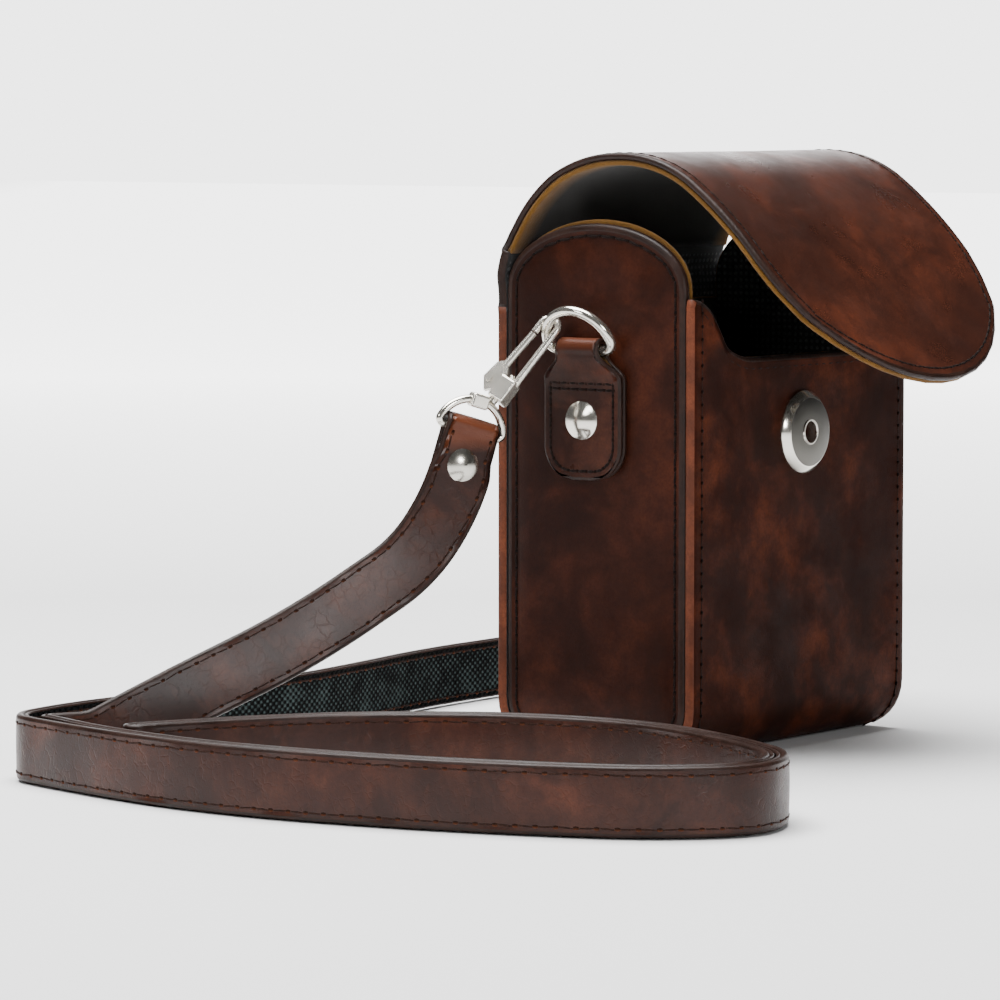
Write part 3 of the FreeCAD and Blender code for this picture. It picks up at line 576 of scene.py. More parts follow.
class Recipe:
    """A material being put together."""

    def __init__(self, name):
        self.material = bpy.data.materials.new(name)
        self.material.use_nodes = True
        self.tree = self.material.node_tree
        self.shader = self.tree.nodes["Principled BSDF"]
        self.place = self.tree.nodes.new("ShaderNodeTexCoord")

    def add(self, kind, links=(), **values):
        """A new node, with its sockets filled or linked and its settings made."""
        node = self.tree.nodes.new(kind)
        for key, value in values.items():
            setattr(node, key, value)
        for socket, source in links:
            if isinstance(source, bpy.types.NodeSocket):
                self.tree.links.new(source, node.inputs[socket])
            else:
                node.inputs[socket].default_value = source
        return node

    def noise(self, scale, detail, roughness=0.5, distortion=0.0, where=None):
        """Cloudy values, about the middle of 0 to 1."""
        node = self.add("ShaderNodeTexNoise", [
            ("Vector", where or self.place.outputs["Object"]), ("Scale", scale),
            ("Detail", detail), ("Roughness", roughness), ("Distortion", distortion),
        ])
        return node.outputs["Fac"]

    def cells(self, scale, feature="F1", randomness=1.0, where=None):
        """Distance from the middle or the edge of the nearest cell."""
        node = self.add("ShaderNodeTexVoronoi", [
            ("Vector", where or self.place.outputs["Object"]), ("Scale", scale), ("Randomness", randomness),
        ], feature=feature)
        return node.outputs["Distance"]

    def spread(self, source, low, high, to_low=0.0, to_high=1.0):
        """The source with low to high stretched over another range."""
        node = self.add("ShaderNodeMapRange", [
            ("Value", source), ("From Min", low), ("From Max", high),
            ("To Min", to_low), ("To Max", to_high),
        ])
        return node.outputs["Result"]

    def maths(self, operation, a, b=0.0):
        """One sum of one or two values."""
        node = self.add("ShaderNodeMath", [(0, a), (1, b)], operation=operation)
        return node.outputs["Value"]

    def mix(self, share, a, b):
        """Colour a, turning to b as the share goes from 0 to 1."""
        node = self.add("ShaderNodeMix", data_type="RGBA", blend_type="MIX")
        for socket, source in ((0, share), (6, a), (7, b)):
            if isinstance(source, bpy.types.NodeSocket):
                self.tree.links.new(source, node.inputs[socket])
            elif socket == 0:
                node.inputs[socket].default_value = source
            else:
                node.inputs[socket].default_value = (*source, 1.0)
        return node.outputs[2]

    def scatter(self, scale, amount):
        """Small random offsets, for lines that shouldn't run straight."""
        node = self.add("ShaderNodeTexNoise", [
            ("Vector", self.place.outputs["Object"]), ("Scale", scale), ("Detail", 2.0),
        ])
        centred = self.add("ShaderNodeVectorMath", [(0, node.outputs["Color"]), (1, (0.5, 0.5, 0.5))],
                           operation="SUBTRACT")
        scaled = self.add("ShaderNodeVectorMath", [(0, centred.outputs["Vector"]), ("Scale", amount)],
                          operation="SCALE")
        return scaled.outputs["Vector"]

    def stretch(self, along, across):
        """Coordinates along and across the leather, scaled."""
        node = self.add("ShaderNodeMapping", [
            ("Vector", self.place.outputs["UV"]), ("Scale", (along, across, 1.0)),
        ])
        return node.outputs["Vector"]

    def finish(self, colour, roughness, height, bump, **shader_values):
        """Feeds the shader and gives back the material."""
        for socket, source in (("Base Color", colour), ("Roughness", roughness)):
            if isinstance(source, bpy.types.NodeSocket):
                self.tree.links.new(source, self.shader.inputs[socket])
            else:
                value = (*source, 1.0) if socket == "Base Color" else source
                self.shader.inputs[socket].default_value = value
        if height is not None:
            node = self.add("ShaderNodeBump", [
                ("Height", height), ("Strength", bump), ("Distance", BUMP_DEPTH),
            ])
            self.tree.links.new(node.outputs["Normal"], self.shader.inputs["Normal"])
        for socket, value in shader_values.items():
            self.shader.inputs[socket.replace("_", " ")].default_value = value
        return self.material


def shade(colour, share):
    """The same colour made darker, or lighter with a share over 1."""
    return tuple(c * share for c in colour)


def leather(name, colour, rub, rub_share, gloss, shine, creases=0.0, stretch_and_highlight_heights=None):
    """Old tanned leather: mottled colour, pores, fine grain, scuffs, and creases across its run.

    Between two given heights it turns to the rubbed colour, partly because the leather is stretched over a
    fold and partly as a painted highlight on the top of the fold."""
    r = Recipe(name)
    cloud = r.noise(38, 5, 0.6, 0.4)
    spots = r.noise(130, 4, 0.6, 0.2)
    fine = r.noise(1500, 3, 0.6)
    tone = r.mix(r.spread(cloud, 0.36, 0.66), shade(colour, 0.62), shade(colour, 1.35))
    rubbed = r.maths("MULTIPLY", r.spread(spots, 0.40, 0.72), r.spread(cloud, 0.46, 0.66))
    tone = r.mix(r.maths("MULTIPLY", rubbed, rub_share), tone, rub)
    tone = r.mix(r.spread(fine, 0.40, 0.70, 0.0, 0.35), tone, shade(colour, 0.45))
    pores = r.cells(1250)
    grain = r.cells(2600, "DISTANCE_TO_EDGE")
    height = r.maths("MULTIPLY", r.spread(pores, 0.0, 0.35), 0.25)
    height = r.maths("ADD", height, r.maths("MULTIPLY", fine, 0.2))
    height = r.maths("ADD", height, r.maths("MULTIPLY", r.spread(grain, 0.0, 0.12), 0.1))
    height = r.maths("ADD", height, r.maths("MULTIPLY", spots, 0.5))
    if creases:
        folds = r.noise(1.0, 4, 0.6, 0.5, where=r.stretch(230, 120))
        wander = [(0, r.stretch(1, 1)), (1, r.scatter(420, 2.2 * MM))]
        bent = r.add("ShaderNodeVectorMath", wander, operation="ADD").outputs["Vector"]
        wrinkle = r.spread(r.cells(330, "DISTANCE_TO_EDGE", where=bent), 0.0, 0.07)
        wrinkle = r.mix(r.spread(folds, 0.42, 0.60), (1, 1, 1), wrinkle)
        height = r.maths("ADD", height, r.maths("MULTIPLY", folds, creases * 0.8))
        height = r.maths("ADD", height, r.maths("MULTIPLY", wrinkle, creases * 0.7))
        tone = r.mix(r.spread(folds, 0.50, 0.70, 0.0, 0.22), tone, shade(rub, 0.6))
    if stretch_and_highlight_heights:
        # Painted highlight, with the lighter colour of stretched leather: the rub colour between two
        # heights on the top of a fold.
        rise = r.add("ShaderNodeSeparateXYZ", [("Vector", r.place.outputs["Object"])]).outputs["Z"]
        tone = r.mix(r.spread(rise, *stretch_and_highlight_heights, 0.0, 0.85), tone, r.mix(cloud, shade(rub, 0.7), rub))
    rough = r.spread(r.noise(90, 4, 0.6), 0.3, 0.7, gloss - 0.08, gloss + 0.12)
    return r.finish(
        tone, rough, height, 0.24,
        Specular_IOR_Level=0.08 + shine, Coat_Weight=max(0.0, shine), Coat_Roughness=0.2,
    )


def edge(name, colour, light, gloss):
    """A leather edge: layers of fibre under paint or wax."""
    r = Recipe(name)
    fibre = r.noise(900, 4, 0.7)
    cloud = r.noise(120, 3)
    tone = r.mix(r.spread(cloud, 0.35, 0.65), colour, light)
    tone = r.mix(r.spread(fibre, 0.42, 0.68, 0.0, 0.5), tone, shade(colour, 0.5))
    return r.finish(tone, r.spread(cloud, 0.3, 0.7, gloss, gloss + 0.15), fibre, 0.35,
                    Specular_IOR_Level=0.18, Coat_Weight=0.04, Coat_Roughness=0.3)


def suede(name, colour, painted_shade_from=None):
    """Napped suede with the marks of brushing. Given a distance, it gets painted shade, near black, up to
    that distance on each side of its middle line, and turns back to mustard over the next 6 mm.
    """
    r = Recipe(name)
    nap = r.noise(2200, 4, 0.8)
    patch = r.noise(60, 4, 0.6, 0.8)
    tone = r.mix(r.spread(patch, 0.35, 0.65), shade(colour, 0.55), colour)
    tone = r.mix(r.spread(nap, 0.35, 0.7), shade(colour, 0.5), tone)
    if painted_shade_from:
        across = r.add("ShaderNodeSeparateXYZ", [("Vector", r.place.outputs["UV"])]).outputs["Y"]
        clear_of_painted_shade = r.spread(r.maths("ABSOLUTE", across), painted_shade_from, painted_shade_from + 6 * MM)
        # Painted shade: near black away from the rim, where the flap's underside lies in shade.
        tone = r.mix(clear_of_painted_shade, shade(colour, 0.02), tone)
    return r.finish(tone, 0.95, nap, 0.6, Sheen_Weight=0.12, Sheen_Roughness=0.5, Specular_IOR_Level=0.1)


def net_lining(name, colour):
    """Black lining cloth with rows of small dots."""
    r = Recipe(name)
    dots = r.cells(620, "F1", 0.0)
    yarn = r.noise(2600, 3, 0.7)
    open_part = r.spread(dots, 0.22, 0.36)
    tone = r.mix(open_part, shade(colour, 7), colour)
    height = r.maths("ADD", r.maths("MULTIPLY", open_part, -0.8), r.maths("MULTIPLY", yarn, 0.4))
    return r.finish(tone, 0.85, height, 0.5, Sheen_Weight=0.2)


def webbing(name, dark, light):
    """Coarse woven backing: over-and-under yarns of two shades."""
    r = Recipe(name)
    where = r.place.outputs["UV"]
    split = r.add("ShaderNodeSeparateXYZ", [("Vector", where)])
    warp = r.maths("SINE", r.maths("MULTIPLY", split.outputs["X"], math.tau / (2.2 * MM)))
    weft = r.maths("SINE", r.maths("MULTIPLY", split.outputs["Y"], math.tau / (1.7 * MM)))
    weave = r.maths("MULTIPLY", warp, weft)
    slub = r.noise(1400, 4, 0.75)
    patch = r.noise(150, 3, 0.6)
    share = r.spread(r.maths("ADD", weave, r.spread(patch, 0.3, 0.7, -0.5, 0.5)), 0.0, 0.9)
    tone = r.mix(share, dark, light)
    tone = r.mix(r.spread(slub, 0.4, 0.65, 0.0, 0.6), tone, shade(dark, 0.6))
    rim = r.spread(r.maths("ABSOLUTE", split.outputs["Y"]), 5.3 * MM, 5.7 * MM)
    tone = r.mix(rim, tone, shade(dark, 1.5))
    height = r.maths("ADD", weave, r.maths("MULTIPLY", slub, 0.8))
    return r.finish(tone, 0.9, height, 0.9, Specular_IOR_Level=0.08)


def waxed_thread(name, colour):
    """Twisted waxed thread."""
    r = Recipe(name)
    ply = r.noise(2400, 2, 0.5, 0.5)
    tone = r.mix(r.spread(ply, 0.35, 0.65), shade(colour, 0.5), shade(colour, 1.3))
    return r.finish(tone, 0.7, ply, 0.5, Specular_IOR_Level=0.12)


def needle_hole(name, colour):
    """Bare leather in a needle hole, with painted shade: the faces that look up turn near black, as the
    upper wall of a hole in shade, and the lower lip keeps the tan.
    """
    r = Recipe(name)
    depth = r.noise(1800, 2)
    facing = r.add("ShaderNodeNewGeometry").outputs["Normal"]
    upward_for_painted_shade = r.add("ShaderNodeSeparateXYZ", [("Vector", facing)]).outputs["Z"]
    # Painted shade on the faces that look up; the faces that look down keep the tan of bare leather.
    tone = r.mix(r.spread(upward_for_painted_shade, -0.55, 0.25), colour, shade(colour, 0.10))
    tone = r.mix(r.spread(depth, 0.3, 0.8, 0.0, 0.5), tone, shade(colour, 0.2))
    return r.finish(tone, 0.8, depth, 0.3, Specular_IOR_Level=0.1)


def plated(name, colour, gloss=0.16, wear_depth=0.12, metal=1.0):
    """Nickel plate with rubbed patches, fine scratches and a little tarnish."""
    r = Recipe(name)
    wear = r.noise(220, 5, 0.65)
    scratch = r.noise(900, 2, 0.5, 2.5)
    tarnish = r.noise(70, 3, 0.55)
    tone = r.mix(r.spread(tarnish, 0.45, 0.75, 0.0, 0.5), colour, shade(colour, 0.62))
    rough = r.spread(wear, 0.35, 0.7, gloss, gloss + wear_depth)
    return r.finish(tone, rough, r.maths("ADD", scratch, wear), 0.002, Metallic=metal)


FINISH_CACHE = {}
# Heights between which the tab and the strap's left end turn over their rings. There their leather takes
# the rub colour: partly stretched leather, partly a painted highlight.
TAB_STRETCH_AND_HIGHLIGHT = (94.5 * MM, 97.0 * MM)
STRAP_STRETCH_AND_HIGHLIGHT = (71.2 * MM, 74.5 * MM)
# Painted shade: the flap's suede is painted near black up to this distance from its middle line.
SUEDE_PAINTED_SHADE = 37.5 * MM


def finish(kind):
    """One of the case's finishes, made when it is first asked for."""
    if kind in FINISH_CACHE:
        return FINISH_CACHE[kind]
    c = sizes().finish
    makers = {
        "case": lambda: leather("Side leather", c.case_leather, c.case_warm, 0.42, 0.38, 0.01),
        "front": lambda: leather(
            "Front leather", c.case_leather, shade(c.case_warm, 1.25), 0.62, 0.46, -0.05
        ),
        "flap": lambda: leather("Flap leather", c.flap_leather, c.case_warm, 0.62, 0.32, 0.12),
        "tab": lambda: leather(
            "Tab leather", c.case_leather, c.strap_rub_and_highlight, 0.45, 0.34, 0.06, 0.4, TAB_STRETCH_AND_HIGHLIGHT
        ),
        "strap": lambda: leather(
            "Strap leather", c.strap_leather, c.strap_rub_and_highlight, 0.45, 0.36, 0.10, 0.9, STRAP_STRETCH_AND_HIGHLIGHT
        ),
        "cut edge": lambda: edge("Cut edge", c.cut_edge, shade(c.cut_edge, 1.9), 0.5),
        "painted edge": lambda: edge("Painted edge", c.painted_edge, shade(c.painted_edge, 1.8), 0.34),
        "suede": lambda: suede("Mustard suede", c.suede),
        "flap suede painted shade": lambda: suede("Flap suede with painted shade", c.suede, SUEDE_PAINTED_SHADE),
        "lining": lambda: net_lining("Net lining", c.lining),
        "webbing": lambda: webbing("Strap webbing", c.webbing, c.webbing_light),
        "thread": lambda: waxed_thread("Waxed thread", c.thread),
        "dark thread": lambda: waxed_thread("Dark waxed thread", shade(c.thread, 0.34)),
        "hole": lambda: needle_hole("Needle hole", c.hole),
        "dark hole": lambda: needle_hole("Dark needle hole", shade(c.hole, 0.18)),
        "nickel": lambda: plated("Nickel", c.nickel),
        "bright nickel": lambda: plated("Bright nickel", shade(c.nickel, 1.2), 0.11, 0.05, 0.94),
        "hook nickel": lambda: plated("Hook nickel", shade(c.nickel, 1.3), 0.17, 0.06, 0.80),
        # Partly the satin finish, partly a painted dark reflection: nickel darkened to a fifth.
        "satin nickel painted reflection": lambda: plated("Satin nickel with painted dark reflection", shade(c.nickel, 0.20), 0.30, 0.10),
    }
    FINISH_CACHE[kind] = makers[kind]()
    return FINISH_CACHE[kind]


def sizes():
    """The sizes and colours as they are set now."""
    return bpy.context.scene.ready_case


# ------------------------------------------------------------------ wrap

def front_height(x):
    """Top of the front panel at a distance from its middle."""
    case = sizes().case
    top, low = case.front_top / MM, case.front_low / MM
    knots = [
        (20.0, low - 0.15), (22.5, low), (26.5, low + 0.9), (30.6, low + 2.9), (34.0, low + 7.5),
        (36.2, top - 3.7), (38.3, top - 2.0), (41.0, top - 0.6), (43.5, top),
    ]
    return through(knots, abs(x) / MM) * MM


def wrap_columns(half):
    """Places across the wrap, closer together where the cut-out falls."""
    right = [
        0, 7, 14, 20, 22.5, 24.5, 26.5, 28.2, 29.4, 30.6, 31.8, 32.9, 34, 35.1, 36.2, 37.3, 38.6, 40, 41.6,
    ]
    right = [x * MM for x in right if x * MM < half - 2.4 * MM] + [half - 1.5 * MM, half]
    return [-x for x in reversed(right[1:])] + right


def wrap_rows(x, skin, top_back):
    """Points down the front, under the base and up the back at one place across."""
    case = sizes().case
    y = case.depth / 2 - skin
    r = case.bend - skin
    top = front_height(x)
    low = case.bend
    points = []
    for share in (0, 0.02, 0.05, 0.1, 0.18, 0.28, 0.4, 0.52, 0.64, 0.76, 0.88):
        points.append(Vector((x, -y, top + (low - top) * share)))
    for k in range(9):
        a = math.pi / 2 * k / 8
        points.append(Vector((x, -y + r * (1 - math.cos(a)), low - r * math.sin(a))))
    for share in (0.2, 0.4, 0.6, 0.8):
        points.append(Vector((x, (-y + r) + 2 * (y - r) * share, skin)))
    for k in range(9):
        a = math.pi / 2 * k / 8
        points.append(Vector((x, y - r + r * math.sin(a), low - r * math.cos(a))))
    for share in (0.15, 0.3, 0.45, 0.6, 0.75, 0.9, 0.98, 1.0):
        points.append(Vector((x, y, low + (top_back - low) * share)))
    return points


def make_wrap():
    """The wrap, its lining and its stitches."""
    s = sizes()
    case = s.case
    half = case.width / 2
    columns = wrap_columns(half)
    by_column = [wrap_rows(x, 0, case.hinge_start) for x in columns]
    rows = len(by_column[0])
    grid = [[by_column[c][r] for c in range(len(columns))] for r in range(rows)]
    for row in grid[2:11]:
        for point in row[2:-2]:
            point.y -= 0.18 * MM * (1 + unevenness(point, 28, 3))
    finishes = [finish("front"), finish("lining"), finish("painted edge"), finish("cut edge")]
    wrap = sheet("case_wrap", grid, Vector((0, -1, 0)), case.leather, finishes, (1.0, 0.0), 0.22, 3)
    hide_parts("body_wrap")
    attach(wrap, "case")

    deep = half - case.leather - case.lining - 0.1 * MM
    columns = wrap_columns(deep)
    skin = case.leather + 0.02 * MM
    by_column = [wrap_rows(x, skin, case.hinge_start) for x in columns]
    grid = [[by_column[c][r] for c in range(len(columns))] for r in range(rows)]
    cloth = [finish("suede"), finish("lining"), finish("suede")]
    lining = sheet("case_lining", grid, Vector((0, -1, 0)), case.lining, cloth)
    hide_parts("wrap_lining")
    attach(lining, "case")

    stitch = s.stitch
    lines = []
    from_edge = 3.1 * MM
    for x in (from_edge - half, half - from_edge):
        line = evenly(wrap_rows(x, 0, case.hinge_start - 2 * MM), 1.5 * MM)
        lines.append(face_normals(line, Vector((1, 0, 0))))
    from_top = 2.7 * MM
    cut = [Vector((x * MM, -case.depth / 2, front_height(x * MM))) for x in range(-40, 41)]
    lowered = []
    for k, point in enumerate(cut):
        along = (cut[min(k + 1, len(cut) - 1)] - cut[max(k - 1, 0)]).normalized()
        below = Vector((along.z, 0, -along.x))
        lowered.append((point + below * from_top, Vector((0, -1, 0))))
    lines.append(lowered)
    waxed = [finish("dark thread"), finish("dark hole")]
    thread = sew("case_wrap_stitches", lines, stitch.pitch * 0.75, stitch, waxed, 0.8)
    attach(thread, "case")


# ------------------------------------------------------------------ side panels

def side_outline(x, rim):
    """Closed outline of a side panel, with its arched top."""
    case = sizes().case
    y = case.depth / 2 - case.leather - 0.05 * MM
    r = case.bend - case.leather
    low = case.leather
    spring, top = case.arch_spring, case.arch_top + rim
    line = []
    for k in range(13):
        a = math.pi / 2 * k / 12
        line.append(Vector((x, -y + r * (1 - math.cos(a)), low + r * (1 - math.sin(a)))))
    for k in range(13):
        a = math.pi / 2 * k / 12
        line.append(Vector((x, y - r * (1 - math.sin(a)), low + r * (1 - math.cos(a)))))
    line.append(Vector((x, y, spring)))
    for k in range(1, 24):
        a = math.pi * k / 24
        line.append(Vector((x, y * math.cos(a), spring + (top - spring) * math.sin(a))))
    line.append(Vector((x, -y, spring)))
    line.append(line[0].copy())
    return evenly(line, 2.4 * MM)[:-1]


def make_sides():
    """The arched side panels, their linings and their stitches."""
    s = sizes()
    case = s.case
    half = case.width / 2
    for name, sign in (("left", -1), ("right", 1)):
        out = Vector((sign, 0, 0))
        outline = side_outline(sign * half, 0)
        finishes = [finish("case"), finish("lining"), finish("painted edge")]
        panel = plate(
            "side_" + name, outline, out, case.leather, finishes, 0.3 * MM, True, 0.35 * MM, 5 + sign
        )
        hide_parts("side_panel_" + name)
        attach(panel, "case")

        outline = side_outline(sign * (half - case.leather - 0.02 * MM), case.lining_rim)
        finishes = [finish("suede"), finish("lining"), finish("suede")]
        lining = plate("side_cloth_" + name, outline, out, case.lining, finishes)
        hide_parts("side_lining_" + name)
        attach(lining, "case")

        row = inset_loop(side_outline(sign * (half - 0.14 * MM), 0), 2.9 * MM, out)
        row = [(point, out) for point in row + row[:1]]
        waxed = [finish("dark thread"), finish("dark hole")]
        thread = sew("side_stitches_" + name, [row], s.stitch.pitch, s.stitch, waxed, 1.15)
        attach(thread, "case")


# ------------------------------------------------------------------ flap

# The flap's outer face seen from the side: depth and height, two steps to each arc.
FLAP_ARCS = [
    (28.6, 110.9), (27.4, 116.2), (23.9, 123.1), (19.4, 129.4), (12.7, 135.3), (3.6, 139.1),
    (-6.0, 140.3), (-16.0, 139.2), (-26.0, 134.8), (-37.0, 125.9), (-48.0, 114.0),
]
FLAP_TIP = (-69.0, 88.5)
# Where the sides start to draw in, along the flap from the start of its straight tongue.
TAPER_START = -3 * MM


def flap_profile():
    """The flap's outer face seen from the side, from the hinge to the start of the straight tongue."""
    knots = [Vector((0, y * MM, z * MM)) for y, z in FLAP_ARCS]
    line = []
    for k in range(0, len(knots) - 1, 2):
        line += arc_points(knots[k], knots[k + 1], knots[k + 2], 14)[1 if k else 0:]
    return line


class FlapSurface:
    """Places on the flap's outer face from x across and s along. s is zero where the tongue starts."""

    def __init__(self):
        self.line = flap_profile()
        lengths = [0.0]
        for a, b in zip(self.line, self.line[1:]):
            lengths.append(lengths[-1] + (b - a).length)
        self.at = [v - lengths[-1] for v in lengths]
        self.flap = sizes().flap
        tip = Vector((0, FLAP_TIP[0] * MM, FLAP_TIP[1] * MM))
        self.down = (tip - self.line[-1]).normalized()
        self.half = sizes().case.width / 2
        self.side_end = self.flap.tongue - self.sag(self.flap.shoulder)

    def sag(self, x):
        """How far the round end falls short of the tip at x."""
        radius = self.flap.tip_radius
        return radius - math.sqrt(max(0.0, radius * radius - x * x))

    def profile(self, s):
        """The place on the middle line at s, and the way the line runs there."""
        if s >= 0:
            return self.line[-1] + self.down * s, self.down
        if s <= self.at[0]:
            return self.line[0].copy(), (self.line[1] - self.line[0]).normalized()
        k = max(i for i in range(len(self.at) - 1) if self.at[i] <= s)
        t = (s - self.at[k]) / (self.at[k + 1] - self.at[k])
        here = self.line[k].lerp(self.line[k + 1], t)
        before = self.line[max(k - 1, 0)]
        after = self.line[min(k + 2, len(self.line) - 1)]
        return here, (after - before).normalized()

    def point(self, x, s, depth=0.0):
        """The place at x and s, a depth below the outer face, and the face's normal."""
        here, along = self.profile(s)
        normal = along.cross(Vector((1, 0, 0))).normalized()
        if normal.z < 0:
            normal = -normal
        wander = 0.25 * MM * unevenness(Vector((x, here.y, here.z)), 22, 9)
        fade = min(1.0, max(0.0, (self.half - abs(x)) / (9 * MM)))
        return here + Vector((x, 0, 0)) + normal * (wander * fade - depth), normal

    def half_width(self, s):
        """Half the flap's width at s: its sides draw in along the tongue."""
        if s <= TAPER_START:
            return self.half
        middle = 0.45 * self.side_end - 1.2 * MM
        shoulder = self.flap.shoulder
        knots = [(TAPER_START, self.half), (middle, shoulder + 3.1 * MM), (self.side_end, shoulder)]
        return through(knots, min(s, self.side_end))

    def end(self, x):
        """Where the tongue ends at x."""
        return self.flap.tongue - self.sag(x)


def flap_grid(surface, start, depth, inset):
    """Rows of points on the flap from a start to its round tip."""
    shares = [-1, -0.97, -0.93, -0.82, -0.68, -0.52, -0.35, -0.17, 0]
    shares = shares + [-v for v in reversed(shares[:-1])]
    stops = 46
    body = [start + (TAPER_START - start) * k / stops for k in range(stops)]
    tail = [k / 12 for k in range(12)] + [0.965, 1.0]
    grid = []
    for s in body:
        half = surface.half - inset
        grid.append([surface.point(u * half, s, depth)[0] for u in shares])
    for t in tail:
        row = []
        for u in shares:
            last = surface.end(u * (surface.flap.shoulder - inset)) - inset
            s = TAPER_START + (last - TAPER_START) * t
            row.append(surface.point(u * (surface.half_width(s) - inset), s, depth)[0])
        grid.append(row)
    return grid


def make_flap():
    """The flap's leather, suede and stitches, and the hinge that joins it to the back."""
    s = sizes()
    surface = FlapSurface()
    hinge_length = 7 * MM
    start = surface.at[0] + hinge_length

    grid = flap_grid(surface, start, 0.0, 0.0)
    finishes = [finish("flap"), finish("suede"), finish("painted edge")]
    skin = sheet(
        "flap_leather", grid, Vector((0, 1, 0)), s.flap.leather, finishes, (0.0, 1.0), painted=True
    )
    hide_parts("flap_crown", "flap_tongue")

    grid = flap_grid(surface, start, s.flap.leather + 0.03 * MM, 0.35 * MM)
    # The suede's back face gets painted shade: near black, with mustard only near its rim.
    finishes = [finish("suede"), finish("flap suede painted shade"), finish("suede")]
    inner = sheet("flap_suede", grid, Vector((0, 1, 0)), s.flap.lining, finishes, (0.0, 1.0))
    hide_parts("flap_crown_lining", "flap_tongue_lining")

    inset = s.flap.stitch_in
    left = []
    along = start + 1 * MM
    while along < surface.side_end - inset * 0.8:
        left.append((surface.half_width(along) - inset, along))
        along += 1.5 * MM
    reach = surface.flap.shoulder - inset * 1.15
    tip = []
    for n in range(61):
        x = reach * math.cos(math.pi * n / 60)
        tip.append((x, surface.end(x) - inset))
    path = left + tip + [(-x, along) for x, along in reversed(left)]
    row = [surface.point(x, along) for x, along in path]
    waxed = [finish("dark thread"), finish("dark hole")]
    thread = sew("flap_stitches", [row], s.stitch.pitch * 0.8, s.stitch, waxed, 0.95)
    for piece in (skin, inner, thread):
        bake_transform(piece)

    half = s.case.width / 2
    back = s.case.depth / 2
    knots = [Vector((0, back, s.case.hinge_start + k * MM)) for k in (0, 1.5, 3.0)]
    knots += [surface.profile(surface.at[0] + k * MM)[0] for k in (0.5, 2, 3.5, 5, 6, 7)]
    line = evenly(soft_corners(knots, half_runs(knots), 0.6 * MM), 0.8 * MM)
    across = [-1, -0.97, -0.9, -0.6, -0.3, 0, 0.3, 0.6, 0.9, 0.97, 1]
    grid = [[p + Vector((u * half, 0, 0)) for u in across] for p in line]
    finishes = [finish("flap"), finish("lining"), finish("painted edge")]
    band = sheet("flap_hinge", grid, Vector((0, 1, 0)), s.case.leather, finishes, (0.0, 0.0), 0.3)
    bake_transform(band)


# ------------------------------------------------------------------ ring tabs

# How far the tab's outer face stands from the side panel.
TAB_FACE = 3.0
# The two rows sewn across the tab under its D-ring.
TAB_BARS = (85.6, 87.0)


def tab_half_width(climb, tab):
    """Half the tab's width at a height above its lower end."""
    if climb < tab.corner:
        return tab.width / 2 - tab.corner + math.sqrt(tab.corner ** 2 - (tab.corner - climb) ** 2)
    shoulder = tab.shoulder - tab.bottom
    neck_at = shoulder + 5.6 * MM
    t = min(1.0, max(0.0, (climb - shoulder) / (neck_at - shoulder)))
    t = t * t * (3 - 2 * t)
    return tab.width / 2 + (tab.neck / 2 - tab.width / 2) * t


def make_tabs():
    """The folded tabs and their stitches."""
    s = sizes()
    tab = s.tab
    wall = s.case.width / 2
    bottom = tab.bottom / MM
    path = [
        (TAB_FACE, bottom), (TAB_FACE, 72), (TAB_FACE, 80), (TAB_FACE, 86), (3.25, 89), (4.5, 91.8),
        (5.6, 93.6), (5.95, 95.4), (5.0, 97.2), (3.0, 97.75), (1.0, 97.1), (0.12, 95.4), (0.05, 93.4),
        (0.05, 88), (0.05, 80), (0.05, 72), (0.05, bottom),
    ]
    corners = [Vector((-wall - d * MM, tab.centre, z * MM)) for d, z in path]
    line = evenly(soft_corners(corners, half_runs(corners), 0.5 * MM), 0.75 * MM)
    shares = [-1, -0.93, -0.8, -0.5, -0.2, 0.2, 0.5, 0.8, 0.93, 1]
    grid = []
    for point in line:
        climb = point.z - tab.bottom
        half = tab_half_width(max(0.0, climb), tab)
        grid.append([point + Vector((0, u * half, 0)) for u in shares])
    grid = grid[::-1]
    finishes = [finish("tab"), finish("suede"), finish("painted edge")]
    inset = 2.1 * MM
    half, low, bend = tab.width / 2 - inset, tab.bottom + inset, tab.corner - inset
    side = [(half, tab.shoulder - 1.2 * MM)]
    for k in range(13):
        angle = math.pi / 2 * k / 12
        side.append((half - bend + bend * math.cos(angle), low + bend - bend * math.sin(angle)))
    path = side + [(-y, z) for y, z in reversed(side)]
    face, out = -wall - TAB_FACE * MM, Vector((-1, 0, 0))
    rows = [[(Vector((face, tab.centre + y, z)), out) for y, z in path]]
    for height in TAB_BARS:
        bar = Vector((face, tab.centre, height * MM))
        rows.append([(bar + Vector((0, u * half / 4, 0)), out) for u in range(-4, 5)])
    waxed = [finish("dark thread"), finish("dark hole")]
    for name, to_wall, side_grid, side_rows in (
        ("left", -out, grid, rows),
        ("right", out, [[mirrored(p) for p in row] for row in grid], mirrored_rows(rows)),
    ):
        piece = sheet("ring_tab_" + name, side_grid, to_wall, tab.ply, finishes, painted=True)
        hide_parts("tab_" + name)
        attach(piece, "case")
        pitch = s.stitch.pitch * 0.62
        thread = sew("ring_tab_stitches_" + name, side_rows, pitch, s.stitch, waxed, 1.25)
        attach(thread, "case")


# ------------------------------------------------------------------ strap

# Where the left end comes down: distance along the ground from the hook's hold, and height.
END_ROUTE = [
    (18.7, 76.2), (23.5, 60.5), (33.0, 46.5), (60.0, 29.8), (90.0, 16.8), (110.0, 7.6), (117.5, 7.6),
]
# The left hook's hold seen from above, and the corner where the left end turns into the loop.
HOLD = (-50.4128, 9.7474)
LEFT_FLOOR = (-151.5, 72.9)
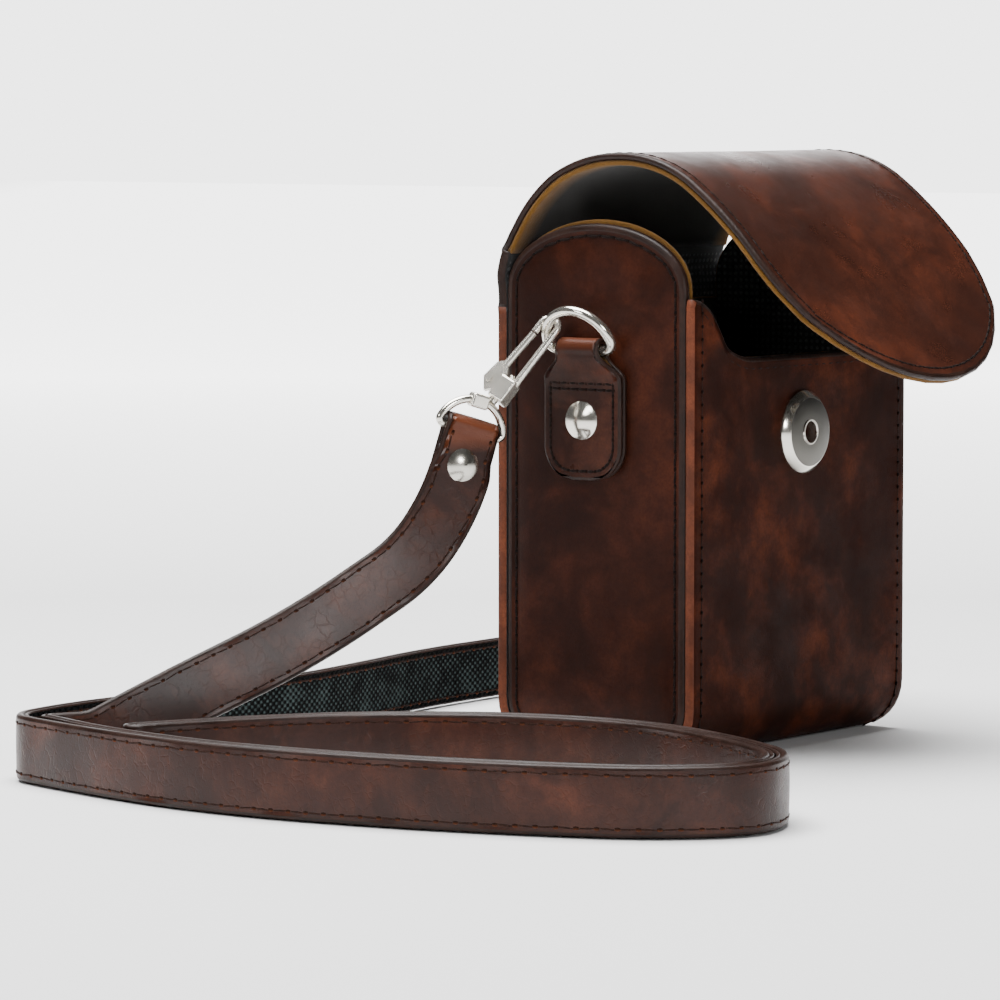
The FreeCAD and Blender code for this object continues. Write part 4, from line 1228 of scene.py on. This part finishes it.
# Middle line of the doubled loop, from the left bend round to its tip.
LOOP = [
    (-164.5, 50), (-170, 22), (-170, -6), (-165, -36), (-157, -64), (-147, -88), (-130, -103),
    (-110, -96), (-93, -68), (-84, -38), (-90, -8), (-109, 19), (-134, 36), (-157, 46),
]
# The single run behind the case, from the left bend to the right end.
FAR_RUN = [
    (-157.5, 80.5), (-134, 84), (-97, 80), (-60, 78.4), (-30, 82.5), (5, 89), (50, 90), (95, 94.5),
    (132, 94.5), (158, 92),
]
# Height of the strap's middle line on the floor, and the gap between the loop's two runs.
STRAP_HEIGHT = 7.6
PLY_GAP = 0.4
# The strap ring's bar lies this far behind the strap's middle.
BAR_DEPTH = 1.2


def level(points):
    """Places on the strap's middle line where it stands on the floor."""
    return [Vector((x * MM, y * MM, STRAP_HEIGHT * MM)) for x, y in points]


def strap_ground_line(heading, ground, thick):
    """The strap's middle line where it stands on the floor, from the left end to the right end."""
    half_gap = (thick + PLY_GAP * MM) / 2
    start = ground + heading * END_ROUTE[-1][0] * MM
    start.z = STRAP_HEIGHT * MM
    loop = level(LOOP)
    inner, outer = moved_left(loop, half_gap), moved_left(loop, -half_gap)
    right_start = mirrored(start)
    right_run = 15.5 * MM
    turn = right_start + mirrored(heading) * right_run
    overrun = 2.6 * MM
    floor = level([LEFT_FLOOR])[0] + heading * overrun
    far = level(FAR_RUN)
    points = [start, floor] + inner + outer[::-1] + far + [turn, right_start]
    reaches = half_runs(points)
    loop_tip, loop_end = 1 + len(inner), 2 + 2 * len(inner)
    reaches[loop_tip] = reaches[loop_tip + 1] = half_gap * 0.98
    for corner, longest in ((1, 3.4), (loop_end, 9), (-3, 9), (-2, 7)):
        reaches[corner] = min(reaches[corner], longest * MM)
    return evenly(soft_corners(points, reaches, 0.6 * MM), 1.6 * MM)


def strap_end_stations(strap, heading, ground):
    """The left end from its turned-back tail, over the strap ring, down to the floor."""
    up = Vector((0, 0, 1))
    grain = up.cross(heading)
    thick = strap.leather + strap.lining
    corners = [ground + heading * t * MM + up * z * MM for t, z in END_ROUTE]
    line = evenly(soft_corners(corners, half_runs(corners), 0.8 * MM), 1.6 * MM)
    down = (corners[1] - corners[0]).normalized()
    across = down.cross(grain)
    bar = corners[0] - grain * BAR_DEPTH * MM
    fold_r, fold_t = 3.1 * MM, 1.8 * MM
    stations = []
    steps = 11
    for k in range(steps):
        back = strap.tail * (1 - k / steps)
        offset = thick / 2 + strap.leather + 0.1 * MM
        outer = corners[0] + down * back - grain * offset
        stations.append((outer, -grain, across, strap.fold_width / 2, strap.leather * 0.92))
    for k in range(1, 12):
        angle = math.pi * k / 12
        spoke = -grain * math.cos(angle) - down * math.sin(angle)
        stations.append((bar + spoke * fold_r, spoke, across, strap.fold_width / 2, fold_t))
    tail_count = len(stations)
    widens_from, widens_over, thins_over = 6.5 * MM, 3.5 * MM, 6 * MM
    most_lean = math.radians(13)
    for k, point in enumerate(line):
        before, after = line[max(k - 1, 0)], line[min(k + 1, len(line) - 1)]
        along = (after - before).normalized()
        gone = (point - corners[0]).length
        t = min(1.0, max(0.0, (gone - widens_from) / widens_over))
        half = strap.fold_width / 2 + (strap.width - strap.fold_width) / 2 * t
        thin = fold_t + (strap.leather - fold_t) * min(1.0, gone / thins_over)
        lean = most_lean * math.sin(math.pi * k / (len(line) - 1)) ** 0.7
        turned_grain = Matrix.Rotation(lean, 3, along) @ grain
        if turned_grain.z < 0:
            turned_grain = Matrix.Rotation(-lean, 3, along) @ grain
        place_out = point + turned_grain * (thick / 2)
        stations.append((place_out, turned_grain, along.cross(turned_grain), half, thin))
    return stations, tail_count


def strap_stations():
    """Places on the grain side of the whole strap, left tail to right tail."""
    strap = sizes().strap
    thick = strap.leather + strap.lining
    ground = Vector((HOLD[0] * MM, HOLD[1] * MM, 0))
    aim = Vector((LEFT_FLOOR[0] * MM, LEFT_FLOOR[1] * MM, 0))
    heading = (aim - ground).normalized()
    left, tail_count = strap_end_stations(strap, heading, ground)
    right = [(mirrored(p), mirrored(g), mirrored(a), h, t) for p, g, a, h, t in reversed(left)]
    floor = strap_ground_line(heading, ground, thick)
    up = Vector((0, 0, 1))
    middle = []
    for k in range(1, len(floor) - 1):
        along = (floor[k + 1] - floor[k - 1]).normalized()
        grain = up.cross(along)
        middle.append((floor[k] + grain * (thick / 2), grain, up, strap.width / 2, strap.leather))
    return left + middle + right, tail_count


def make_strap():
    """The strap's leather, its woven backing and its stitches on both faces."""
    s = sizes()
    strap = s.strap
    stations, tail = strap_stations()
    shares = [-1, -0.88, -0.72, -0.36, 0, 0.36, 0.72, 0.88, 1]
    grid, thick = [], []
    for place, grain, across, half, leather_t in stations:
        row = []
        for u in shares:
            swell = 0.16 * MM * (1 - abs(u) ** 2.2) * (1 + 0.8 * unevenness(place, 60, 4))
            row.append(place + across * (half * u) + grain * swell)
        grid.append(row)
        thick.append(leather_t)
    finishes = [finish("strap"), finish("strap"), finish("painted edge")]
    leather_band = sheet("neck_strap_leather", grid, stations[0][1], thick, finishes)
    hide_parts("strap_leather")
    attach(leather_band, "case")

    body = stations[tail + 3:len(stations) - tail - 3]
    shares = [-1, -0.9, -0.5, 0, 0.5, 0.9, 1]
    grid = []
    for place, grain, across, half, leather_t in body:
        under = place - grain * (strap.leather + 0.03 * MM)
        grid.append([under + across * ((half - 0.25 * MM) * u) for u in shares])
    cloth = finish("webbing")
    cloth = [cloth, cloth, finish("painted edge")]
    backing = sheet("neck_strap_webbing", grid, body[0][1], strap.lining - 0.03 * MM, cloth)
    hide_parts("strap_lining")
    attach(backing, "case")

    rows = []
    sewn = stations[tail + 1:len(stations) - tail - 1]
    for sign in (-1, 1):
        front, rear = [], []
        for place, grain, across, half, leather_t in sewn:
            edge_at = across * (sign * (half - strap.stitch_in))
            front.append((place + edge_at + grain * 0.06 * MM, grain))
            rear.append((place + edge_at - grain * (strap.leather + strap.lining), -grain))
        rows += [front, rear]
    waxed = [finish("thread"), finish("hole")]
    thread = sew("neck_strap_stitches", rows, strap.pitch, s.stitch, waxed, 0.75, 1.35)
    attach(thread, "case")


# ------------------------------------------------------------------ metal

SNAP_HEIGHT = 74.5
TAB_RIVET_HEIGHT = 78.4
# The left hook's directions: along its shank, and across it towards the thumb lever.
HOOK_ALONG = (0.5113884, -0.3670114, 0.7770357)
LEVER_SIDE = (-0.0418586, 0.8925020, 0.4490971)


def paint_node(name, kind):
    """Gives a frame piece one of the finishes."""
    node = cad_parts[name]
    node.data.materials.clear()
    node.data.materials.append(finish(kind))
    for polygon in node.data.polygons:
        polygon.material_index = 0


def make_snap():
    """The snap's face, with a brushed band between its bright rims, and its stud. The band's nickel is
    darkened as a painted dark reflection.
    """
    case = sizes().case
    face = Vector((0, -case.depth / 2, SNAP_HEIGHT * MM))
    profile = [
        (2.5, 0.05), (2.5, 2.45), (2.65, 2.62), (2.95, 2.62), (3.1, 2.34), (8.1, 2.32),
        (8.3, 2.24), (9.3, 1.25), (9.65, 0.95), (9.8, 0.7), (9.8, 0.4), (9.8, 0.05),
    ]
    bands = [0, 0, 0, 0, 1, 0, 0, 0, 0, 0, 0, 0]
    # The brushed band's satin nickel is darkened as a painted dark reflection.
    metals = [finish("bright nickel"), finish("satin nickel painted reflection")]
    cap = turned("snap_face", [(r * MM, h * MM) for r, h in profile], face, (0, -1, 0), metals, 96, bands)
    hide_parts("snap_socket_cap")
    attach(cap, "case")
    for name in ("snap_magnet", "snap_socket_washer", "snap_stud", "snap_stud_washer"):
        paint_node(name, "nickel")


def make_rivets():
    """A domed cap on each tab's rivet, and the plain rivets."""
    s = sizes()
    wall = s.case.width / 2 + (TAB_FACE + 0.02) * MM
    dome = [
        (0, 1.32), (1.2, 1.22), (2.4, 0.93), (3.4, 0.55), (4.1, 0.28), (4.45, 0.2), (4.5, 0.02), (0, 0.0),
    ]
    dome = [(r * MM, h * MM) for r, h in dome]
    for name, sign in (("left", -1), ("right", 1)):
        seat = Vector((sign * wall, s.tab.centre, TAB_RIVET_HEIGHT * MM))
        rivet = turned("tab_stud_" + name, dome, seat, (sign, 0, 0), [finish("bright nickel")])
        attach(rivet, "case")
        paint_node("tab_rivet_" + name, "nickel")
        paint_node("strap_rivet_" + name, "nickel")


def make_clasps():
    """The rings, saddles, hooks and gates, and each gate's spring."""
    for side in ("left", "right"):
        for name in ("d_ring_", "strap_ring_", "swivel_saddle_", "hook_body_", "hook_gate_", "gate_pin_"):
            paint_node(name + side, "bright nickel" if "ring" in name else "hook nickel")
        make_gate_spring(side)


def make_gate_spring(side):
    """A coil spring where the frame has a plain tube."""
    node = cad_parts["gate_spring_" + side]
    points = [v.co.copy() for v in node.data.vertices]
    centre = sum(points, Vector()) / len(points)
    axis = (Vector(HOOK_ALONG) + Vector(LEVER_SIDE) * 0.75).normalized()
    if side == "right":
        axis = mirrored(axis)
    one = axis.orthogonal().normalized()
    two = axis.cross(one)
    line = []
    turns, radius, height, steps = 3.5, 0.56 * MM, 1.05 * MM, 70
    for k in range(steps + 1):
        a = math.tau * turns * k / steps
        spoke = one * math.cos(a) + two * math.sin(a)
        line.append(centre + axis * (height * (k / steps - 0.5)) + spoke * radius)
    coil = tube("gate_coil_" + side, line, 0.12 * MM, finish("bright nickel"), 6)
    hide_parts("gate_spring_" + side)
    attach(coil, "hook_" + side)


# ------------------------------------------------------------------ stage

# Level directions away from the camera and across its view, for the glow of the backdrop.
AHEAD = (0.80, 0.60, 0.0)
ASIDE = (0.60, -0.80, 0.0)
# Name, place, side of the square and power.
SOFTBOXES = (
    ("top softbox", (-0.1, 0.2, 1.3), 1.1, 66),
    ("left softbox", (-1.5, 0.3, 0.7), 0.4, 5),
    ("front softbox", (-0.9, -1.6, 0.56), 0.34, 11),
)
LIT_PLACE = (0, 0, 0.06)
CAMERA_PLACE = (-1.01544, -0.6968, 0.1534)
CAMERA_LENS = 185.7
CAMERA_DROP = 4.48
CAMERA_TURN = -53.27


def make_floor(scene):
    """A pale floor that glows where it runs away from the camera."""
    floor_mesh = bpy.data.meshes.new("floor")
    work = bmesh.new()
    bmesh.ops.create_grid(work, x_segments=2, y_segments=2, size=6)
    work.to_mesh(floor_mesh)
    work.free()
    floor = bpy.data.objects.new("floor", floor_mesh)
    floor.location.z = -0.3 * MM
    scene.collection.objects.link(floor)
    r = Recipe("Pale floor")
    ahead, aside = (
        r.add("ShaderNodeVectorMath", [(0, r.place.outputs["Object"]), (1, way)], operation="DOT_PRODUCT")
        for way in (AHEAD, ASIDE)
    )
    r.finish((0.86, 0.86, 0.86), 0.85, None, 0, Specular_IOR_Level=0.1, Emission_Color=(1, 1, 1, 1))
    lane = r.spread(r.maths("ABSOLUTE", aside.outputs["Value"]), 0.8, 1.6, 1.0, 0.0)
    sweep = r.maths("MULTIPLY", r.spread(ahead.outputs["Value"], 0.35, 1.6, 0.0, 4.2), lane)
    r.tree.links.new(sweep, r.shader.inputs["Emission Strength"])
    floor_mesh.materials.append(r.material)


def make_backdrop(scene):
    """Even light all round, with a bright patch ahead of the camera."""
    world = scene.world or bpy.data.worlds.new("Studio")
    scene.world = world
    world.use_nodes = True
    tree = world.node_tree
    backdrop = tree.nodes["Background"]
    backdrop.inputs["Color"].default_value = (1, 1, 1, 1)
    place = tree.nodes.new("ShaderNodeTexCoord")
    toward = tree.nodes.new("ShaderNodeVectorMath")
    toward.operation = "DOT_PRODUCT"
    toward.inputs[1].default_value = AHEAD
    tree.links.new(place.outputs["Generated"], toward.inputs[0])
    glow = tree.nodes.new("ShaderNodeMapRange")
    glow.interpolation_type = "SMOOTHSTEP"
    for socket, value in (("From Min", 0.86), ("From Max", 0.97), ("To Min", 0.07), ("To Max", 3.8)):
        glow.inputs[socket].default_value = value
    tree.links.new(toward.outputs["Value"], glow.inputs["Value"])
    tree.links.new(glow.outputs["Result"], backdrop.inputs["Strength"])


def make_softboxes(scene):
    """Square lights that face the case."""
    for name, place, size, power in SOFTBOXES:
        light = bpy.data.lights.new(name, "AREA")
        light.shape = "SQUARE"
        light.size = size
        light.energy = power
        lamp = bpy.data.objects.new(name, light)
        lamp.location = place
        aim = Vector(LIT_PLACE) - Vector(place)
        lamp.rotation_euler = aim.to_track_quat("-Z", "Y").to_euler()
        scene.collection.objects.link(lamp)


def make_camera(scene):
    """A long lens that looks at the case's left corner from a little above."""
    data = bpy.data.cameras.new("camera")
    data.lens = CAMERA_LENS
    data.sensor_width = 36
    camera = bpy.data.objects.new("camera", data)
    camera.location = CAMERA_PLACE
    camera.rotation_euler = (math.radians(90 - CAMERA_DROP), 0, math.radians(CAMERA_TURN))
    scene.collection.objects.link(camera)
    scene.camera = camera


def make_stage():
    """The floor, the backdrop, the softboxes and the camera."""
    scene = bpy.context.scene
    for make in (make_floor, make_backdrop, make_softboxes, make_camera):
        make(scene)


# ------------------------------------------------------------------ operators

class READYCASE_OT_wrap(bpy.types.Operator):
    """The wrap that makes the front, base and back, its lining, and their stitches"""
    bl_idname = "readycase.wrap"
    bl_label = "Wrap"

    def execute(self, context):
        make_wrap()
        paint_node("base_board", "lining")
        return {"FINISHED"}


class READYCASE_OT_sides(bpy.types.Operator):
    """The arched side panels, their lining and stitches"""
    bl_idname = "readycase.sides"
    bl_label = "Side panels"

    def execute(self, context):
        make_sides()
        return {"FINISHED"}


class READYCASE_OT_flap(bpy.types.Operator):
    """The flap with its suede, stitches and hinge"""
    bl_idname = "readycase.flap"
    bl_label = "Flap"

    def execute(self, context):
        make_flap()
        return {"FINISHED"}


class READYCASE_OT_tabs(bpy.types.Operator):
    """The folded tabs that carry the D-rings"""
    bl_idname = "readycase.tabs"
    bl_label = "Ring tabs"

    def execute(self, context):
        make_tabs()
        return {"FINISHED"}


class READYCASE_OT_strap(bpy.types.Operator):
    """The neck strap's leather, backing and stitches"""
    bl_idname = "readycase.strap"
    bl_label = "Neck strap"

    def execute(self, context):
        make_strap()
        return {"FINISHED"}


class READYCASE_OT_snap(bpy.types.Operator):
    """The magnetic snap and its stud"""
    bl_idname = "readycase.snap"
    bl_label = "Snap"

    def execute(self, context):
        make_snap()
        return {"FINISHED"}


class READYCASE_OT_rivets(bpy.types.Operator):
    """The rivets of the tabs and the strap"""
    bl_idname = "readycase.rivets"
    bl_label = "Rivets"

    def execute(self, context):
        make_rivets()
        return {"FINISHED"}


class READYCASE_OT_clasps(bpy.types.Operator):
    """The D-rings, hooks, gates and springs"""
    bl_idname = "readycase.clasps"
    bl_label = "Clasps"

    def execute(self, context):
        make_clasps()
        return {"FINISHED"}


class READYCASE_OT_stage(bpy.types.Operator):
    """The floor, the lights and the camera"""
    bl_idname = "readycase.stage"
    bl_label = "Stage"

    def execute(self, context):
        make_stage()
        return {"FINISHED"}


STEPS = (
    READYCASE_OT_stage, READYCASE_OT_wrap, READYCASE_OT_sides, READYCASE_OT_flap, READYCASE_OT_tabs,
    READYCASE_OT_strap, READYCASE_OT_snap, READYCASE_OT_rivets, READYCASE_OT_clasps,
)


class READYCASE_PT_panel(bpy.types.Panel):
    """Lists the steps and the sizes"""
    bl_label = "Ready Case"
    bl_idname = "READYCASE_PT_panel"
    bl_space_type = "VIEW_3D"
    bl_region_type = "UI"
    bl_category = "Ready Case"

    def draw(self, context):
        for step in STEPS:
            self.layout.operator(step.bl_idname)
        settings = context.scene.ready_case
        for name in ("case", "flap", "tab", "strap", "stitch", "finish"):
            box = self.layout.box()
            box.label(text=name.capitalize())
            group = getattr(settings, name)
            for prop in group.__annotations__:
                box.prop(group, prop)


CLASSES = (
    CaseSizes, FlapSizes, TabSizes, StrapSizes, ThreadSizes, Finishes, ReadyCase, *STEPS,
    READYCASE_PT_panel,
)


def register():
    for cls in CLASSES:
        bpy.utils.register_class(cls)
    bpy.types.Scene.ready_case = PointerProperty(type=ReadyCase)


def unregister():
    del bpy.types.Scene.ready_case
    for cls in reversed(CLASSES):
        bpy.utils.unregister_class(cls)


def main():
    register()
    for step in STEPS:
        group, action = step.bl_idname.split(".")
        getattr(getattr(bpy.ops, group), action)()


if __name__ == "__main__":
    main()
